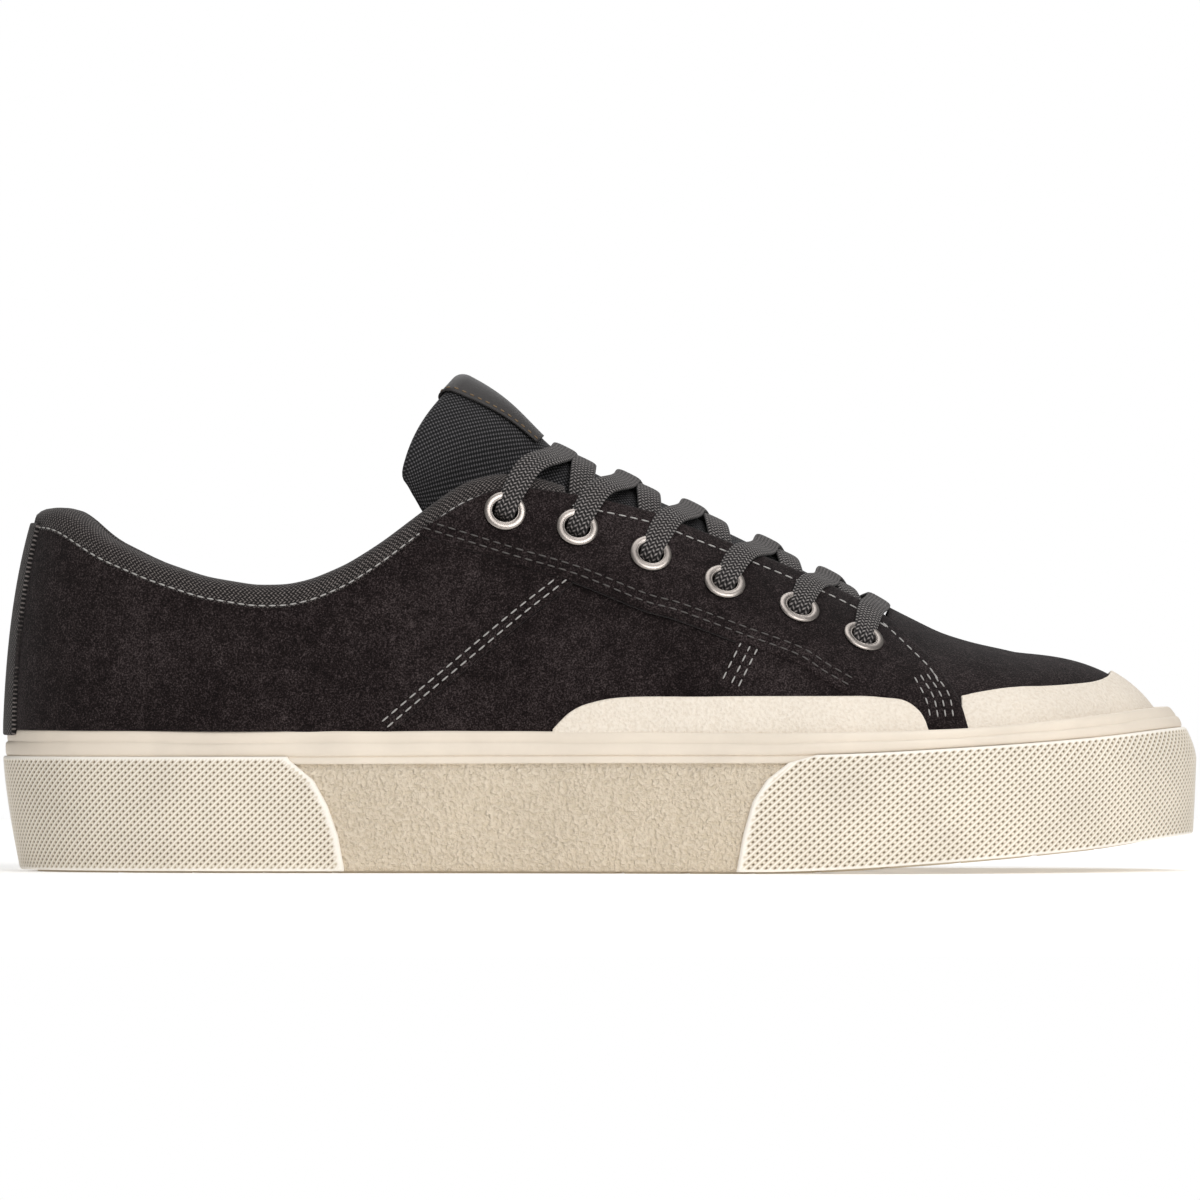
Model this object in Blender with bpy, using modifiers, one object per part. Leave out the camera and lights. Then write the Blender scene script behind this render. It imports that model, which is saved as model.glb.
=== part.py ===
import math

import bmesh
import bpy
import numpy as np

# A padded skateboarding shoe for the right foot, standing on its sole.
# Every length is in millimetres: +X runs to the toe, +Y to the inner side of the foot, +Z up.
# The tables hold the shoe at its nominal size and are stretched to the sizes named here.
size = {
    "length": 300.0,  # tip of the heel wrap to tip of the toe wrap
    "ballWidth": 110.0,  # widest part of the sole
    "soleHeight": 28.9,  # side wall of the sole at the heel
    "collarHeight": 71.3,  # lowest point of the collar above the floor
    "wall": 2.0,  # the upper's outer leather with its lining
    "overlay": 1.2,  # leather or rubber laid over the upper
    "gap": 0.3,  # between pieces that are glued or stitched together
    "insole": 4.0,
    "outsole": 3.2,
    "skirt": 1.8,  # side wall beside the outsole
    "wrapDepth": 1.5,  # how far the heel and toe wraps stand out of the side wall
    "treadPitch": 17.0,
    "treadGroove": 2.4,
    "treadDepth": 1.5,
    "eyeletHole": 7.0,
    "eyeletWidth": 10.4,
    "laceWidth": 5.4,
    "laceThick": 1.4,
    "bindingWidth": 4.4,
    "bindingThick": 1.0,
    "collarPad": 5.0,
    "collarPadDepth": 34.0,
    "tongueThick": 6.0,
    "tongueClear": 2.2,  # tongue below the form of the last in the throat
    "heelStrip": 20.0,
    "labelWidth": 34.0,
}

stretchX = size["length"] / 300.0
stretchY = size["ballWidth"] / 110.0
stretchSole = size["soleHeight"] / 28.9
# Top of the tape below the collar's lowest point, and that point, as the tables hold them.
tapeAtCollar = 35.5
collarLow = 71.3
stretchUpper = (size["collarHeight"] - tapeAtCollar * stretchSole) / (collarLow - tapeAtCollar)



# Outline of the sole seen from above, once round from the tip of the heel by way of the outer side.
outlineColumns = ("share of length", "across")
outlineRows = [
    (0.000, 0.0),
    (0.035, -23.0),
    (0.130, -38.0),
    (0.280, -42.5),
    (0.450, -46.5),
    (0.600, -54.0),
    (0.710, -58.0),
    (0.830, -52.0),
    (0.930, -33.0),
    (1.000, 6.0),
    (0.965, 31.0),
    (0.860, 47.0),
    (0.730, 52.0),
    (0.580, 45.0),
    (0.410, 35.5),
    (0.250, 36.5),
    (0.120, 36.5),
    (0.035, 22.0),
]

# Heights of the sole along the shoe. The last column is the surface that the insole lies on.
soleColumns = ("x", "bottom", "wallTop", "tapeTop", "bed")
soleRows = [
    (-150, 0.0, 28.9, 35.6, 18.0),
    (-60, 0.0, 29.1, 35.4, 16.5),
    (0, 0.0, 29.4, 35.3, 13.5),
    (45, 0.0, 29.4, 35.0, 12.5),
    (65, 0.9, 29.9, 35.1, 12.9),
    (91, 2.7, 31.4, 36.1, 14.2),
    (105, 3.8, 32.2, 37.0, 15.0),
    (129, 6.0, 34.0, 39.6, 16.8),
    (149, 9.2, 36.4, 41.4, 19.4),
]

# How far each face of the sole lies inside the widest outline: at heel, waist and toe.
insetColumns = ("x", "footSlope", "topSlope", "tape", "feather")
insetRows = [
    (-150, 4.3, 0.0, 0.6, 4.8),
    (-110, 3.2, 0.0, 1.0, 4.8),
    (-40, 2.4, 0.0, 1.6, 4.8),
    (60, 2.0, 0.3, 1.8, 4.8),
    (105, 1.6, 1.6, 2.8, 6.4),
    (150, 1.0, 3.0, 3.9, 8.6),
]

# Sections of the last: height of its ridge, the curve of its sides and of its crown, the lean and bulge of its sides.
lastColumns = ("x", "ridge", "side", "crown", "lean", "bulge")
lastRows = [
    (-150, 115.0, 3.6, 3.6, 0.26, 3.8),
    (-100, 115.0, 3.6, 3.4, 0.24, 3.0),
    (-60, 115.0, 3.2, 3.0, 0.16, 1.8),
    (-30, 113.0, 2.7, 2.5, 0.08, 1.6),
    (-7, 105.0, 2.35, 2.1, 0.0, 1.6),
    (10, 97.5, 2.3, 1.95, 0.0, 1.6),
    (30, 88.5, 2.25, 1.8, 0.0, 1.6),
    (48, 79.5, 2.2, 1.65, 0.0, 1.6),
    (62, 72.0, 2.2, 1.6, 0.0, 1.6),
    (72, 66.3, 2.2, 1.65, 0.0, 1.6),
    (81, 61.9, 2.25, 1.8, 0.0, 1.6),
    (92, 57.6, 2.35, 2.0, 0.0, 1.8),
    (105, 53.8, 2.5, 2.2, 0.0, 2.0),
]
heelCentre = -112.0
toeCentre = 105.0
spineRows = [(-112, 2.5), (-40, -1.0), (10, 0.5), (60, 1.5), (105, 6.0)]

# Collar and throat edge of the upper as seen from the side, from the heel to the end of the throat.
edgeColumns = ("x", "z")
edgeRows = [
    (-142.0, 89.2),
    (-137.0, 89.8),
    (-134.0, 88.6),
    (-125.2, 82.2),
    (-112.4, 76.5),
    (-99.5, 72.2),
    (-86.7, 70.1),
    (-78.0, 70.2),
    (-71.8, 71.6),
    (-63.2, 75.3),
    (-54.5, 80.8),
    (-44.2, 88.6),
    (-36.7, 94.1),
    (-31.0, 96.8),
    (-23.0, 98.0),
    (-14.2, 96.6),
    (-6.7, 94.0),
    (10.4, 90.0),
    (29.7, 82.4),
    (47.8, 75.0),
    (62.3, 68.2),
    (72.0, 62.8),
]
bindingEnd = -9.0

# Centres of the six eyelets of a side as seen from the side, from toe to ankle.
eyeletRows = [
    (64.9, 57.4),
    (48.9, 64.8),
    (30.5, 71.3),
    (12.2, 78.5),
    (-6.1, 85.2),
    (-24.0, 89.4),
]

# How far the lace crossings lie in front of the middle between their eyelets, from toe to ankle.
crossForward = [-0.8, -1.1, 1.6, 4.0, 6.5]

# Edges of the overlays as seen from the side.
stayLower = [
    (-45.0, 83.4),
    (-7.4, 73.0),
    (9.9, 66.0),
    (18.9, 63.7),
    (27.7, 60.1),
    (34.5, 57.5),
    (48.0, 52.7),
    (54.7, 48.2),
    (61.3, 44.4),
    (62.6, 43.6),
    (73.0, 43.6),
    (77.0, 42.2),
    (80.3, 38.7),
    (81.9, 36.4),
]
stayFront = [
    (90.4, 36.6),
    (88.5, 42.4),
    (85.8, 47.0),
    (83.1, 51.2),
    (77.6, 56.0),
    (73.9, 58.5),
    (71.1, 62.0),
    (68.0, 64.4),
]
patchEdge = [
    (-11.5, 35.9),
    (-7.4, 39.7),
    (-2.5, 41.8),
    (6.4, 43.2),
    (25.0, 43.2),
    (61.0, 43.2),
    (72.9, 43.2),
    (76.8, 41.8),
    (79.9, 38.4),
    (81.3, 36.1),
]
bumperEdge = [
    (90.9, 36.7),
    (89.2, 41.6),
    (89.7, 43.2),
    (91.2, 44.2),
    (98.0, 44.8),
    (108.9, 45.3),
    (119.7, 46.3),
    (125.1, 47.1),
    (127.3, 49.3),
    (128.0, 58.0),
]
heelWrapEdge = [(-64.1, -4.0), (-64.0, 1.3), (-65.4, 9.3), (-68.0, 17.0), (-71.4, 23.4), (-77.5, 28.5), (-80.0, 34.0)]
toeWrapEdge = [(33.0, -4.0), (33.1, 0.4), (35.0, 10.0), (37.4, 18.0), (41.0, 23.4), (46.5, 27.6), (54.6, 29.7), (60.0, 40.0)]

# The tongue from its end under the vamp to its top: front middle line, half width, how far its sides go down and back.
tongueColumns = ("x", "z", "halfWidth", "down", "back", "thick")
tongueRows = [
    (84.0, 57.2, 15.0, 0.0, 0.0, 0.45),
    (74.0, 62.0, 18.0, 0.0, 0.0, 0.55),
    (62.0, 68.6, 21.0, 0.0, 0.0, 0.7),
    (48.0, 75.6, 23.5, 0.0, 2.0, 0.8),
    (30.0, 85.0, 25.5, 0.0, 6.0, 0.9),
    (10.0, 94.2, 26.0, 0.0, 12.0, 1.0),
    (-3.0, 100.6, 24.0, 21.0, 20.0, 1.0),
    (-12.0, 104.8, 23.0, 24.0, 26.0, 1.0),
    (-17.5, 111.6, 23.5, 24.5, 26.0, 1.0),
    (-23.2, 117.4, 25.5, 24.0, 23.5, 1.0),
    (-29.0, 121.6, 27.0, 23.0, 19.5, 0.95),
    (-34.2, 124.6, 27.5, 22.5, 15.0, 0.5),
]

half = 28  # stations from heel to toe on each side
fan = 6  # stations round the heel, and round the toe
around = 2 * half
crownRows = 6


def columnOf(rows, column, at):
    table = np.array(rows, float)
    return np.interp(at, table[:, 0], table[:, column])


def upperHeight(x, z):
    """A height on the upper as the tables hold it, carried by the tape below it and stretched to the collar."""
    foot = columnOf(soleRows, soleColumns.index("tapeTop"), x)
    return foot * stretchSole + (z - foot) * stretchUpper


def soleHeight(at, name):
    return columnOf(soleRows, soleColumns.index(name), at) * stretchSole


def insetOf(at, name):
    return columnOf(insetRows, insetColumns.index(name), at)


def lastValue(at, name):
    value = columnOf(lastRows, lastColumns.index(name), at)
    if name == "ridge":
        return upperHeight(at, value)
    return value


def edgeHeight(at):
    return upperHeight(at, columnOf(edgeRows, 1, at))


def closedSpline(points, perSpan):
    """Cubic curve through a closed run of points, by solving for the bend at each."""
    points = np.array(points, float)
    count = len(points)
    chord = np.linalg.norm(np.roll(points, -1, axis=0) - points, axis=1)
    system = np.zeros((count, count))
    pull = np.zeros((count, 2))
    for i in range(count):
        before, after = chord[i - 1], chord[i]
        following = (i + 1) % count
        system[i, i - 1] = before
        system[i, i] = 2 * (before + after)
        system[i, following] = after
        pull[i] = 6 * ((points[following] - points[i]) / after - (points[i] - points[i - 1]) / before)
    bend = np.linalg.solve(system, pull)
    curve = []
    for i in range(count):
        following = (i + 1) % count
        for step in np.arange(perSpan) / perSpan:
            rest = 1 - step
            straight = rest * points[i] + step * points[following]
            bow = (rest**3 - rest) * bend[i] + (step**3 - step) * bend[following]
            curve.append(straight + bow * chord[i] ** 2 / 6)
    return np.array(curve)


def stationsOf(line):
    """One side of the outline: even steps round the heel and the toe, even steps along the shoe between them."""
    spread = []
    for low, high in ((None, heelCentre), (toeCentre, None)):
        part = line[line[:, 0] <= high] if low is None else line[line[:, 0] >= low]
        run = np.r_[0, np.cumsum(np.linalg.norm(np.diff(part, axis=0), axis=1))]
        steps = np.linspace(0, run[-1], fan + 1)
        spread.append(np.c_[np.interp(steps, run, part[:, 0]), np.interp(steps, run, part[:, 1])])
    middle = np.linspace(heelCentre, toeCentre, half - 2 * fan + 1)
    flank = np.c_[middle, np.interp(middle, line[:, 0], line[:, 1])]
    return np.vstack([spread[0][:fan], flank, spread[1][1:]])


def outlineRing():
    dense = closedSpline([((share - 0.5) * 300, across) for share, across in outlineRows], 40)
    dense[:, 0] = (dense[:, 0] - dense[:, 0].min()) / np.ptp(dense[:, 0]) * 300 - 150
    dense[:, 1] -= (dense[:, 1].max() + dense[:, 1].min()) / 2
    heel = dense[:, 0].argmin()
    dense = np.roll(dense, -heel, axis=0)
    toe = dense[:, 0].argmax()
    outer = stationsOf(dense[: toe + 1])
    inner = stationsOf(np.vstack([dense[toe:], dense[:1]])[::-1])
    return np.vstack([outer, inner[1:-1][::-1]])


ring = outlineRing()
ringTangent = np.roll(ring, -1, axis=0) - np.roll(ring, 1, axis=0)
ringTangent /= np.linalg.norm(ringTangent, axis=1)[:, None]
ringInward = np.c_[-ringTangent[:, 1], ringTangent[:, 0]]
spineX = np.clip(ring[:, 0], heelCentre, toeCentre)
spine = np.c_[spineX, columnOf(spineRows, 1, spineX)]
feather = ring + ringInward * insetOf(ring[:, 0], "feather")[:, None]


def loopAt(inset, height):
    """The sole's outline drawn in by inset, at height."""
    flat = ring + ringInward * np.broadcast_to(inset, around)[:, None]
    return np.c_[flat, np.broadcast_to(height, around)]


def ribAt(station, angle, out=0.0):
    """A point of the last on the rib at station, angle up from its feather edge, moved out along its normal."""
    station = np.asarray(station, float)
    angle = np.asarray(angle, float)
    point = ribPoint(station, angle)
    small = 0.02
    along = ribPoint(station + small, angle) - ribPoint(station - small, angle)
    up = ribPoint(station, np.minimum(angle + small, math.pi / 2)) - ribPoint(station, np.maximum(angle - small, 0))
    normal = np.cross(along, up)
    length = np.linalg.norm(normal, axis=-1, keepdims=True)
    normal = np.where(length > 1e-9, normal / np.maximum(length, 1e-9), [0, 0, 1.0])
    return point + normal * out, normal


def ribPoint(station, angle):
    station = np.mod(station, around)
    whole = np.arange(around + 1)
    foot = np.stack([np.interp(station, whole, feather[whole % around, k]) for k in (0, 1)], axis=-1)
    top = np.stack([np.interp(station, whole, spine[whole % around, k]) for k in (0, 1)], axis=-1)
    low = np.interp(station, whole, bed[whole % around]) + size["gap"]
    high = lastValue(top[..., 0], "ridge")
    rise = np.sin(angle) ** (2 / lastValue(top[..., 0], "side"))
    reach = np.abs(np.cos(angle)) ** (2 / lastValue(top[..., 0], "crown"))
    arm = foot - top
    length = np.linalg.norm(arm, axis=-1)
    ease = 1 - (1 - np.minimum(rise / 0.2, 1)) ** 2
    span = length * (1 - lastValue(top[..., 0], "lean") * rise**2) + lastValue(top[..., 0], "bulge") * ease
    flat = top + arm * (reach * span / length)[..., None]
    return np.concatenate([flat, (low + (high - low) * rise)[..., None]], axis=-1)


def angleAt(station, height):
    """How far up its rib a station reaches this height."""
    station = np.mod(station, around)
    whole = np.arange(around + 1)
    topX = np.interp(station, whole, spine[whole % around, 0])
    low = np.interp(station, whole, bed[whole % around]) + size["gap"]
    rise = np.clip((height - low) / (lastValue(topX, "ridge") - low), 0, 1)
    return np.arcsin(rise ** (lastValue(topX, "side") / 2))


def stationAt(x, side):
    """The station of a place along the flank: side is -1 on the outer side, 1 on the inner."""
    along = fan + (x - heelCentre) / (toeCentre - heelCentre) * (half - 2 * fan)
    return along if side < 0 else around - along


stations = np.arange(around)
wallTop = soleHeight(ring[:, 0], "wallTop")
tapeTop = soleHeight(ring[:, 0], "tapeTop")
bed = soleHeight(ring[:, 0], "bed")
bottom = soleHeight(ring[:, 0], "bottom")


def upperAngles():
    """Angles of the upper's rows at every station. The lowest rows follow the sole's own lines."""
    middle = bed + (wallTop - bed) * 0.5
    rows = [np.zeros(around)] + [angleAt(stations, level) for level in (middle, wallTop, tapeTop)]
    for share in np.arange(1, crownRows + 1) / crownRows:
        rows.append(rows[3] + (math.pi / 2 - rows[3]) * share)
    return rows


angleRows = upperAngles()
stretch = np.array([stretchX, stretchY, 1.0]) * 0.001

collection = bpy.data.collections.new("skate_shoe")
cutters = bpy.data.collections.new("cutters")


def startScene():
    for item in list(bpy.data.objects):
        bpy.data.objects.remove(item)
    for group in (collection, cutters):
        bpy.context.scene.collection.children.link(group)
    cutters.hide_render = True


def objectFrom(name, vertices, faces, colour=None, roughness=0.7, metallic=0.0):
    """A mesh object in the shoe's collection, or a cutter if it has no colour."""
    mesh = bpy.data.meshes.new(name)
    mesh.from_pydata((np.asarray(vertices, float) * stretch).tolist(), [], [list(map(int, face)) for face in faces])
    form = bmesh.new()
    form.from_mesh(mesh)
    bmesh.ops.remove_doubles(form, verts=form.verts, dist=0.00001)
    bmesh.ops.recalc_face_normals(form, faces=form.faces)
    form.to_mesh(mesh)
    form.free()
    item = bpy.data.objects.new(name, mesh)
    if colour is None:
        cutters.objects.link(item)
        item.hide_render = True
        item.display_type = "WIRE"
        return item
    collection.objects.link(item)
    material = bpy.data.materials.new(name)
    material.use_nodes = True
    shader = material.node_tree.nodes["Principled BSDF"]
    shader.inputs["Base Color"].default_value = (*colour, 1)
    shader.inputs["Roughness"].default_value = roughness
    shader.inputs["Metallic"].default_value = metallic
    mesh.materials.append(material)
    return item


def gridFaces(rows, columns, closedRows, closedColumns):
    faces = []
    for i in range(rows if closedRows else rows - 1):
        for j in range(columns if closedColumns else columns - 1):
            nextRow, nextColumn = (i + 1) % rows, (j + 1) % columns
            faces.append((i * columns + j, i * columns + nextColumn, nextRow * columns + nextColumn, nextRow * columns + j))
    return faces


def capFaces(first):
    """Closes a ring of stations by joining each station to the one across from it."""
    faces = [(first, first + 1, first + around - 1)]
    for i in range(1, half - 1):
        faces.append((first + i, first + i + 1, first + around - i - 1, first + around - i))
    faces.append((first + half - 1, first + half, first + half + 1))
    return faces


def stacked(name, loops, capped, **look):
    """A solid from closed loops, one above another. Without caps the last loop joins the first."""
    faces = gridFaces(len(loops), around, not capped, True)
    if capped:
        faces += capFaces(0) + capFaces((len(loops) - 1) * around)
    return objectFrom(name, np.vstack(loops), faces, **look)


def addBoolean(item, operation, other):
    cut = item.modifiers.new(other.name, "BOOLEAN")
    cut.operation = operation
    cut.solver = "EXACT"
    cut.object = other


def addWall(item, thickness, outward):
    wall = item.modifiers.new("wall", "SOLIDIFY")
    wall.thickness = thickness * 0.001
    wall.offset = 1 if outward else -1
    wall.use_even_offset = True


def prism(name, outline, low, high, axis="y"):
    """A cutter with this outline seen from the side, from low to high across the shoe."""
    vertices = []
    for depth in (low, high):
        for along, up in outline:
            vertices.append((along, depth, up) if axis == "y" else (depth, along, up))
    count = len(outline)
    faces = [tuple(range(count)), tuple(range(count, 2 * count))[::-1]]
    for i in range(count):
        following = (i + 1) % count
        faces.append((i, following, count + following, count + i))
    return objectFrom(name, vertices, faces)


def lifted(rows):
    """Side view points at the upper's own height."""
    return [(x, float(upperHeight(x, z))) for x, z in rows]


def panelInset(share):
    """Inset of the side wall at a share of its height."""
    x = ring[:, 0]
    foot = insetOf(x, "footSlope") * (1 - share) ** 1.4
    top = insetOf(x, "topSlope") * max(share - 0.7, 0) ** 1.5 / 0.3**1.5
    return foot + top


def wallLoop(share, deeper):
    low = bottom + 0.5
    return loopAt(panelInset(share) + deeper, low + (wallTop - low) * share)


def lastLoop(height, out):
    return ribAt(stations, angleAt(stations, height), out)[0]


wallShares = (0.0, 0.35, 0.75, 1.0)


def makeSole():
    depth = size["wrapDepth"]
    skirtInset = panelInset(0) + depth + size["skirt"]
    ceiling = bottom + size["outsole"] + size["gap"]
    bedLoop = lastLoop(bed + size["gap"], size["gap"])
    bedLoop[:, 2] = bed
    loops = [loopAt(skirtInset, ceiling), loopAt(skirtInset, bottom + 0.5)]
    loops += [wallLoop(share, depth) for share in wallShares]
    loops += [lastLoop(wallTop, size["gap"]), lastLoop(bed + (wallTop - bed) * 0.5, size["gap"]), bedLoop]
    stacked("midsole", loops, True, colour=(0.75, 0.66, 0.5), roughness=0.6)

    edge = skirtInset + size["gap"]
    soleLoops = [loopAt(edge, bottom), loopAt(edge, bottom + size["outsole"])]
    outsole = stacked("outsole", soleLoops, True, colour=(0.7, 0.6, 0.44), roughness=0.6)
    addBoolean(outsole, "DIFFERENCE", treadGrooves())

    form = [wallLoop(share, 0.0) for share in wallShares]
    form += [wallLoop(share, depth - size["gap"]) for share in wallShares[::-1]]
    for name, front, toe in (("heel_wrap", heelWrapEdge, False), ("toe_wrap", toeWrapEdge, True)):
        wrap = stacked(name, form, False, colour=(0.8, 0.72, 0.58), roughness=0.6)
        ends = 170 if toe else -170
        outline = [(x, z * stretchSole) for x, z in front]
        outline = [(ends, -4.0)] + outline + [(ends, outline[-1][1])]
        if toe:
            outline.insert(-1, (100.0, 60.0))
            outline[-1] = (ends, 60.0)
        addBoolean(wrap, "INTERSECT", prism(name + "_cut", outline, -90, 90))


def treadGrooves():
    """Zigzag grooves across the heel and the forefoot."""
    pitch = size["treadPitch"]
    width = size["treadGroove"] / 2
    vertices = []
    faces = []
    zigzag = 5
    zones = [np.arange(-138, -58, pitch), np.arange(2, 128, pitch)]
    for middle in np.concatenate(zones):
        across = np.linspace(-68, 68, zigzag)
        along = middle + np.where(np.arange(zigzag) % 2, 4.5, -4.5)
        ceiling = soleHeight(middle, "bottom") + size["treadDepth"]
        first = len(vertices)
        for shift, height in ((-width, -5), (width, -5), (width, ceiling), (-width, ceiling)):
            vertices += [(x + shift, y, height) for x, y in zip(along, across)]
        faces += [tuple(first + k for k in face) for face in gridFaces(4, zigzag, True, False)]
        faces += [tuple(first + zigzag * k + end for k in range(4)) for end in (0, zigzag - 1)]
    return objectFrom("tread_cut", vertices, faces)


def makeTape():
    """The strip round the top of the sole, of two layers, the upper one a little narrower."""
    x = ring[:, 0]
    inset = insetOf(x, "tape")
    low = wallTop + size["gap"]
    middle = low + (tapeTop - low) * 0.5
    loops = [loopAt(inset, low), loopAt(inset, middle), loopAt(inset + 0.4, middle + 0.3)]
    loops += [loopAt(inset + 0.5, tapeTop), lastLoop(tapeTop, size["gap"]), lastLoop(low, size["gap"])]
    stacked("foxing_tape", loops, False, colour=(0.82, 0.74, 0.62), roughness=0.55)


def makeInsole():
    inset = insetOf(ring[:, 0], "feather") + size["wall"] + 0.6
    low = bed + size["gap"]
    loops = [loopAt(inset, low), loopAt(inset, low + size["insole"] * 0.7), loopAt(inset + 1.5, low + size["insole"])]
    stacked("insole", loops, True, colour=(0.05, 0.05, 0.055), roughness=0.9)


def lastForm(name, out, colour, roughness):
    """The whole surface of the last moved out, open underneath."""
    rows = [ribAt(stations, angles)[0] for angles in angleRows]
    form = objectFrom(name, np.vstack(rows), gridFaces(len(rows), around, False, True), colour=colour, roughness=roughness)
    shape = bmesh.new()
    shape.from_mesh(form.data)
    ridgeFaces(shape)
    bmesh.ops.triangulate(shape, faces=shape.faces)
    if out:
        shape.normal_update()
        for vertex, normal in [(v, v.normal.copy()) for v in shape.verts]:
            vertex.co += normal * out * 0.001
    shape.to_mesh(form.data)
    shape.free()
    return form


def ridgeFaces(shape):
    """Joins what is left open along the ridge and turns every face outward."""
    bmesh.ops.remove_doubles(shape, verts=shape.verts, dist=0.00002)
    bmesh.ops.recalc_face_normals(shape, faces=shape.faces)
    shape.normal_update()
    crown = max(shape.faces, key=lambda face: face.calc_center_median().z)
    if crown.normal.z < 0:
        bmesh.ops.reverse_faces(shape, faces=shape.faces)


def eyeletPlace(row, side):
    x, z = eyeletRows[row]
    station = stationAt(x, side)
    return ribAt(station, angleAt(station, upperHeight(x, z)))


def turned(profile, steps, centre, axis):
    """Points of a profile of (radius, height) pairs turned about an axis at centre."""
    axis = np.asarray(axis, float)
    first = np.cross(axis, [0, 0, 1.0])
    first /= np.linalg.norm(first)
    second = np.cross(axis, first)
    points = []
    for angle in np.arange(steps) * 2 * math.pi / steps:
        spoke = first * math.cos(angle) + second * math.sin(angle)
        points += [centre + spoke * radius + axis * height for radius, height in profile]
    return points


def eyeletCutter():
    vertices = []
    faces = []
    steps = 9
    radius = size["eyeletHole"] / 2 + 1.1
    for side in (-1, 1):
        for row in range(len(eyeletRows)):
            centre, axis = eyeletPlace(row, side)
            first = len(vertices)
            vertices += turned([(radius, -6), (radius, 6)], steps, centre, axis)
            faces += [tuple(first + k for k in face) for face in gridFaces(steps, 2, True, False)]
            faces += [tuple(first + 2 * k + end for k in range(steps)) for end in (0, 1)]
    return objectFrom("eyelet_cut", vertices, faces)


def makeUpper():
    opening = prism("opening_cut", lifted([(-190.0, 88.0)] + edgeRows + [(72.4, 190.0), (-190.0, 190.0)]), -90, 90)
    holes = eyeletCutter()
    upper = lastForm("upper", 0.0, (0.016, 0.012, 0.011), 0.95)
    addWall(upper, size["wall"], False)
    addBoolean(upper, "DIFFERENCE", opening)
    addBoolean(upper, "DIFFERENCE", holes)

    throat = [(x, z) for x, z in edgeRows if 0 < x < 70]
    collar = [(x, z - size["bindingWidth"] - 0.9) for x, z in edgeRows if -42 < x < bindingEnd]
    corner = bindingEnd + 1.0
    stay = stayLower + stayFront + throat[::-1] + [(corner, 94.0), (corner, 88.0)] + collar[::-1]
    for name, low, high in (("eyestay_outer", -95, -4), ("eyestay_inner", 4, 95)):
        piece = overlay(name, prism(name + "_cut", lifted(stay), low, high), (0.018, 0.013, 0.012))
        addBoolean(piece, "DIFFERENCE", holes)
    patch = patchEdge
    for name, low, high in (("side_patch_outer", -95, -4), ("side_patch_inner", 4, 95)):
        overlay(name, prism(name + "_cut", lifted(patch), low, high), (0.8, 0.73, 0.62))
    foot = [(x, tapeLine(x)) for x in np.linspace(139, 92, 9)]
    bumper = lifted(bumperEdge + [(170.0, 58.0)]) + [(170.0, foot[0][1] + size["gap"])] + foot
    overlay("toe_bumper", prism("toe_bumper_cut", bumper, -90, 90), (0.8, 0.73, 0.62))
    reach = size["heelStrip"] / 2
    top = 89.8 - size["bindingWidth"] - 0.8
    middle = ring[0, 1]
    heel = ring[0, 0]
    low, high = (float(upperHeight(heel, level)) for level in (36.0, top))
    strip = [(middle - reach + 1, low), (middle + reach - 1, low), (middle + reach + 1, high), (middle - reach - 1, high)]
    overlay("heel_strip", prism("heel_strip_cut", strip, -190, -120, "x"), (0.03, 0.03, 0.032))


def tapeLine(x):
    """A line just clear of the tape's top edge, seen from the side."""
    loop = lastLoop(tapeTop, size["gap"])
    outer, inner = loop[: half + 1], np.vstack([loop[half:], loop[:1]])[::-1]
    heights = [np.interp(x, edge[:, 0], edge[:, 2]) for edge in (outer, inner)]
    return float(max(heights)) + size["gap"] + 0.1


def overlay(name, cut, colour):
    piece = lastForm(name, size["gap"], colour, 0.8)
    addWall(piece, size["overlay"], True)
    addBoolean(piece, "INTERSECT", cut)
    return piece


def edgeAngle(station):
    """The angle at which a rib meets the collar edge."""
    low, high = 0.2, math.pi / 2
    for _ in range(40):
        middle = (low + high) / 2
        point = ribPoint(np.array(station, float), np.array(middle))
        if point[2] < edgeHeight(point[0]):
            low = middle
        else:
            high = middle
    return low


def collarStations(front):
    """Stations round the collar from the outer side by way of the heel to the inner side."""
    last = float(stationAt(front, -1))
    turns = [float(stationAt(x, -1)) for x, _ in edgeRows if heelCentre < x < front]
    steps = sorted(set(np.round([i for i in range(1, int(last) + 1)] + turns + [last], 3)))
    steps = [step for i, step in enumerate(steps) if i == 0 or step - steps[i - 1] > 0.28]
    return [-step for step in steps[::-1]] + [0.0] + steps


def sectionsSolid(name, sections, **look):
    """A solid from closed cross-sections in a row, with flat ends."""
    count = len(sections[0])
    faces = gridFaces(len(sections), count, False, True)
    faces += [tuple(range(count)), tuple(range((len(sections) - 1) * count, len(sections) * count))]
    return objectFrom(name, np.vstack(sections), faces, **look)


def edgePoint(station, deep):
    """A point at the height of the collar edge, deep inside the last, with the way out and the way up there."""
    height = ribPoint(np.array(station), np.array(edgeAngle(station)))[2]
    angles = np.linspace(0.3, math.pi / 2 - 0.02, 160)
    places, normals = ribAt(np.full(160, station), angles, -deep)
    angle = np.interp(height, places[:, 2], angles)
    point, normal = ribAt(np.array(station), np.array(angle), -deep)
    below, _ = ribAt(np.array(station), np.array(angle - 0.06), -deep)
    up = (point - below) / np.linalg.norm(point - below)
    return point, normal, up


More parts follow.
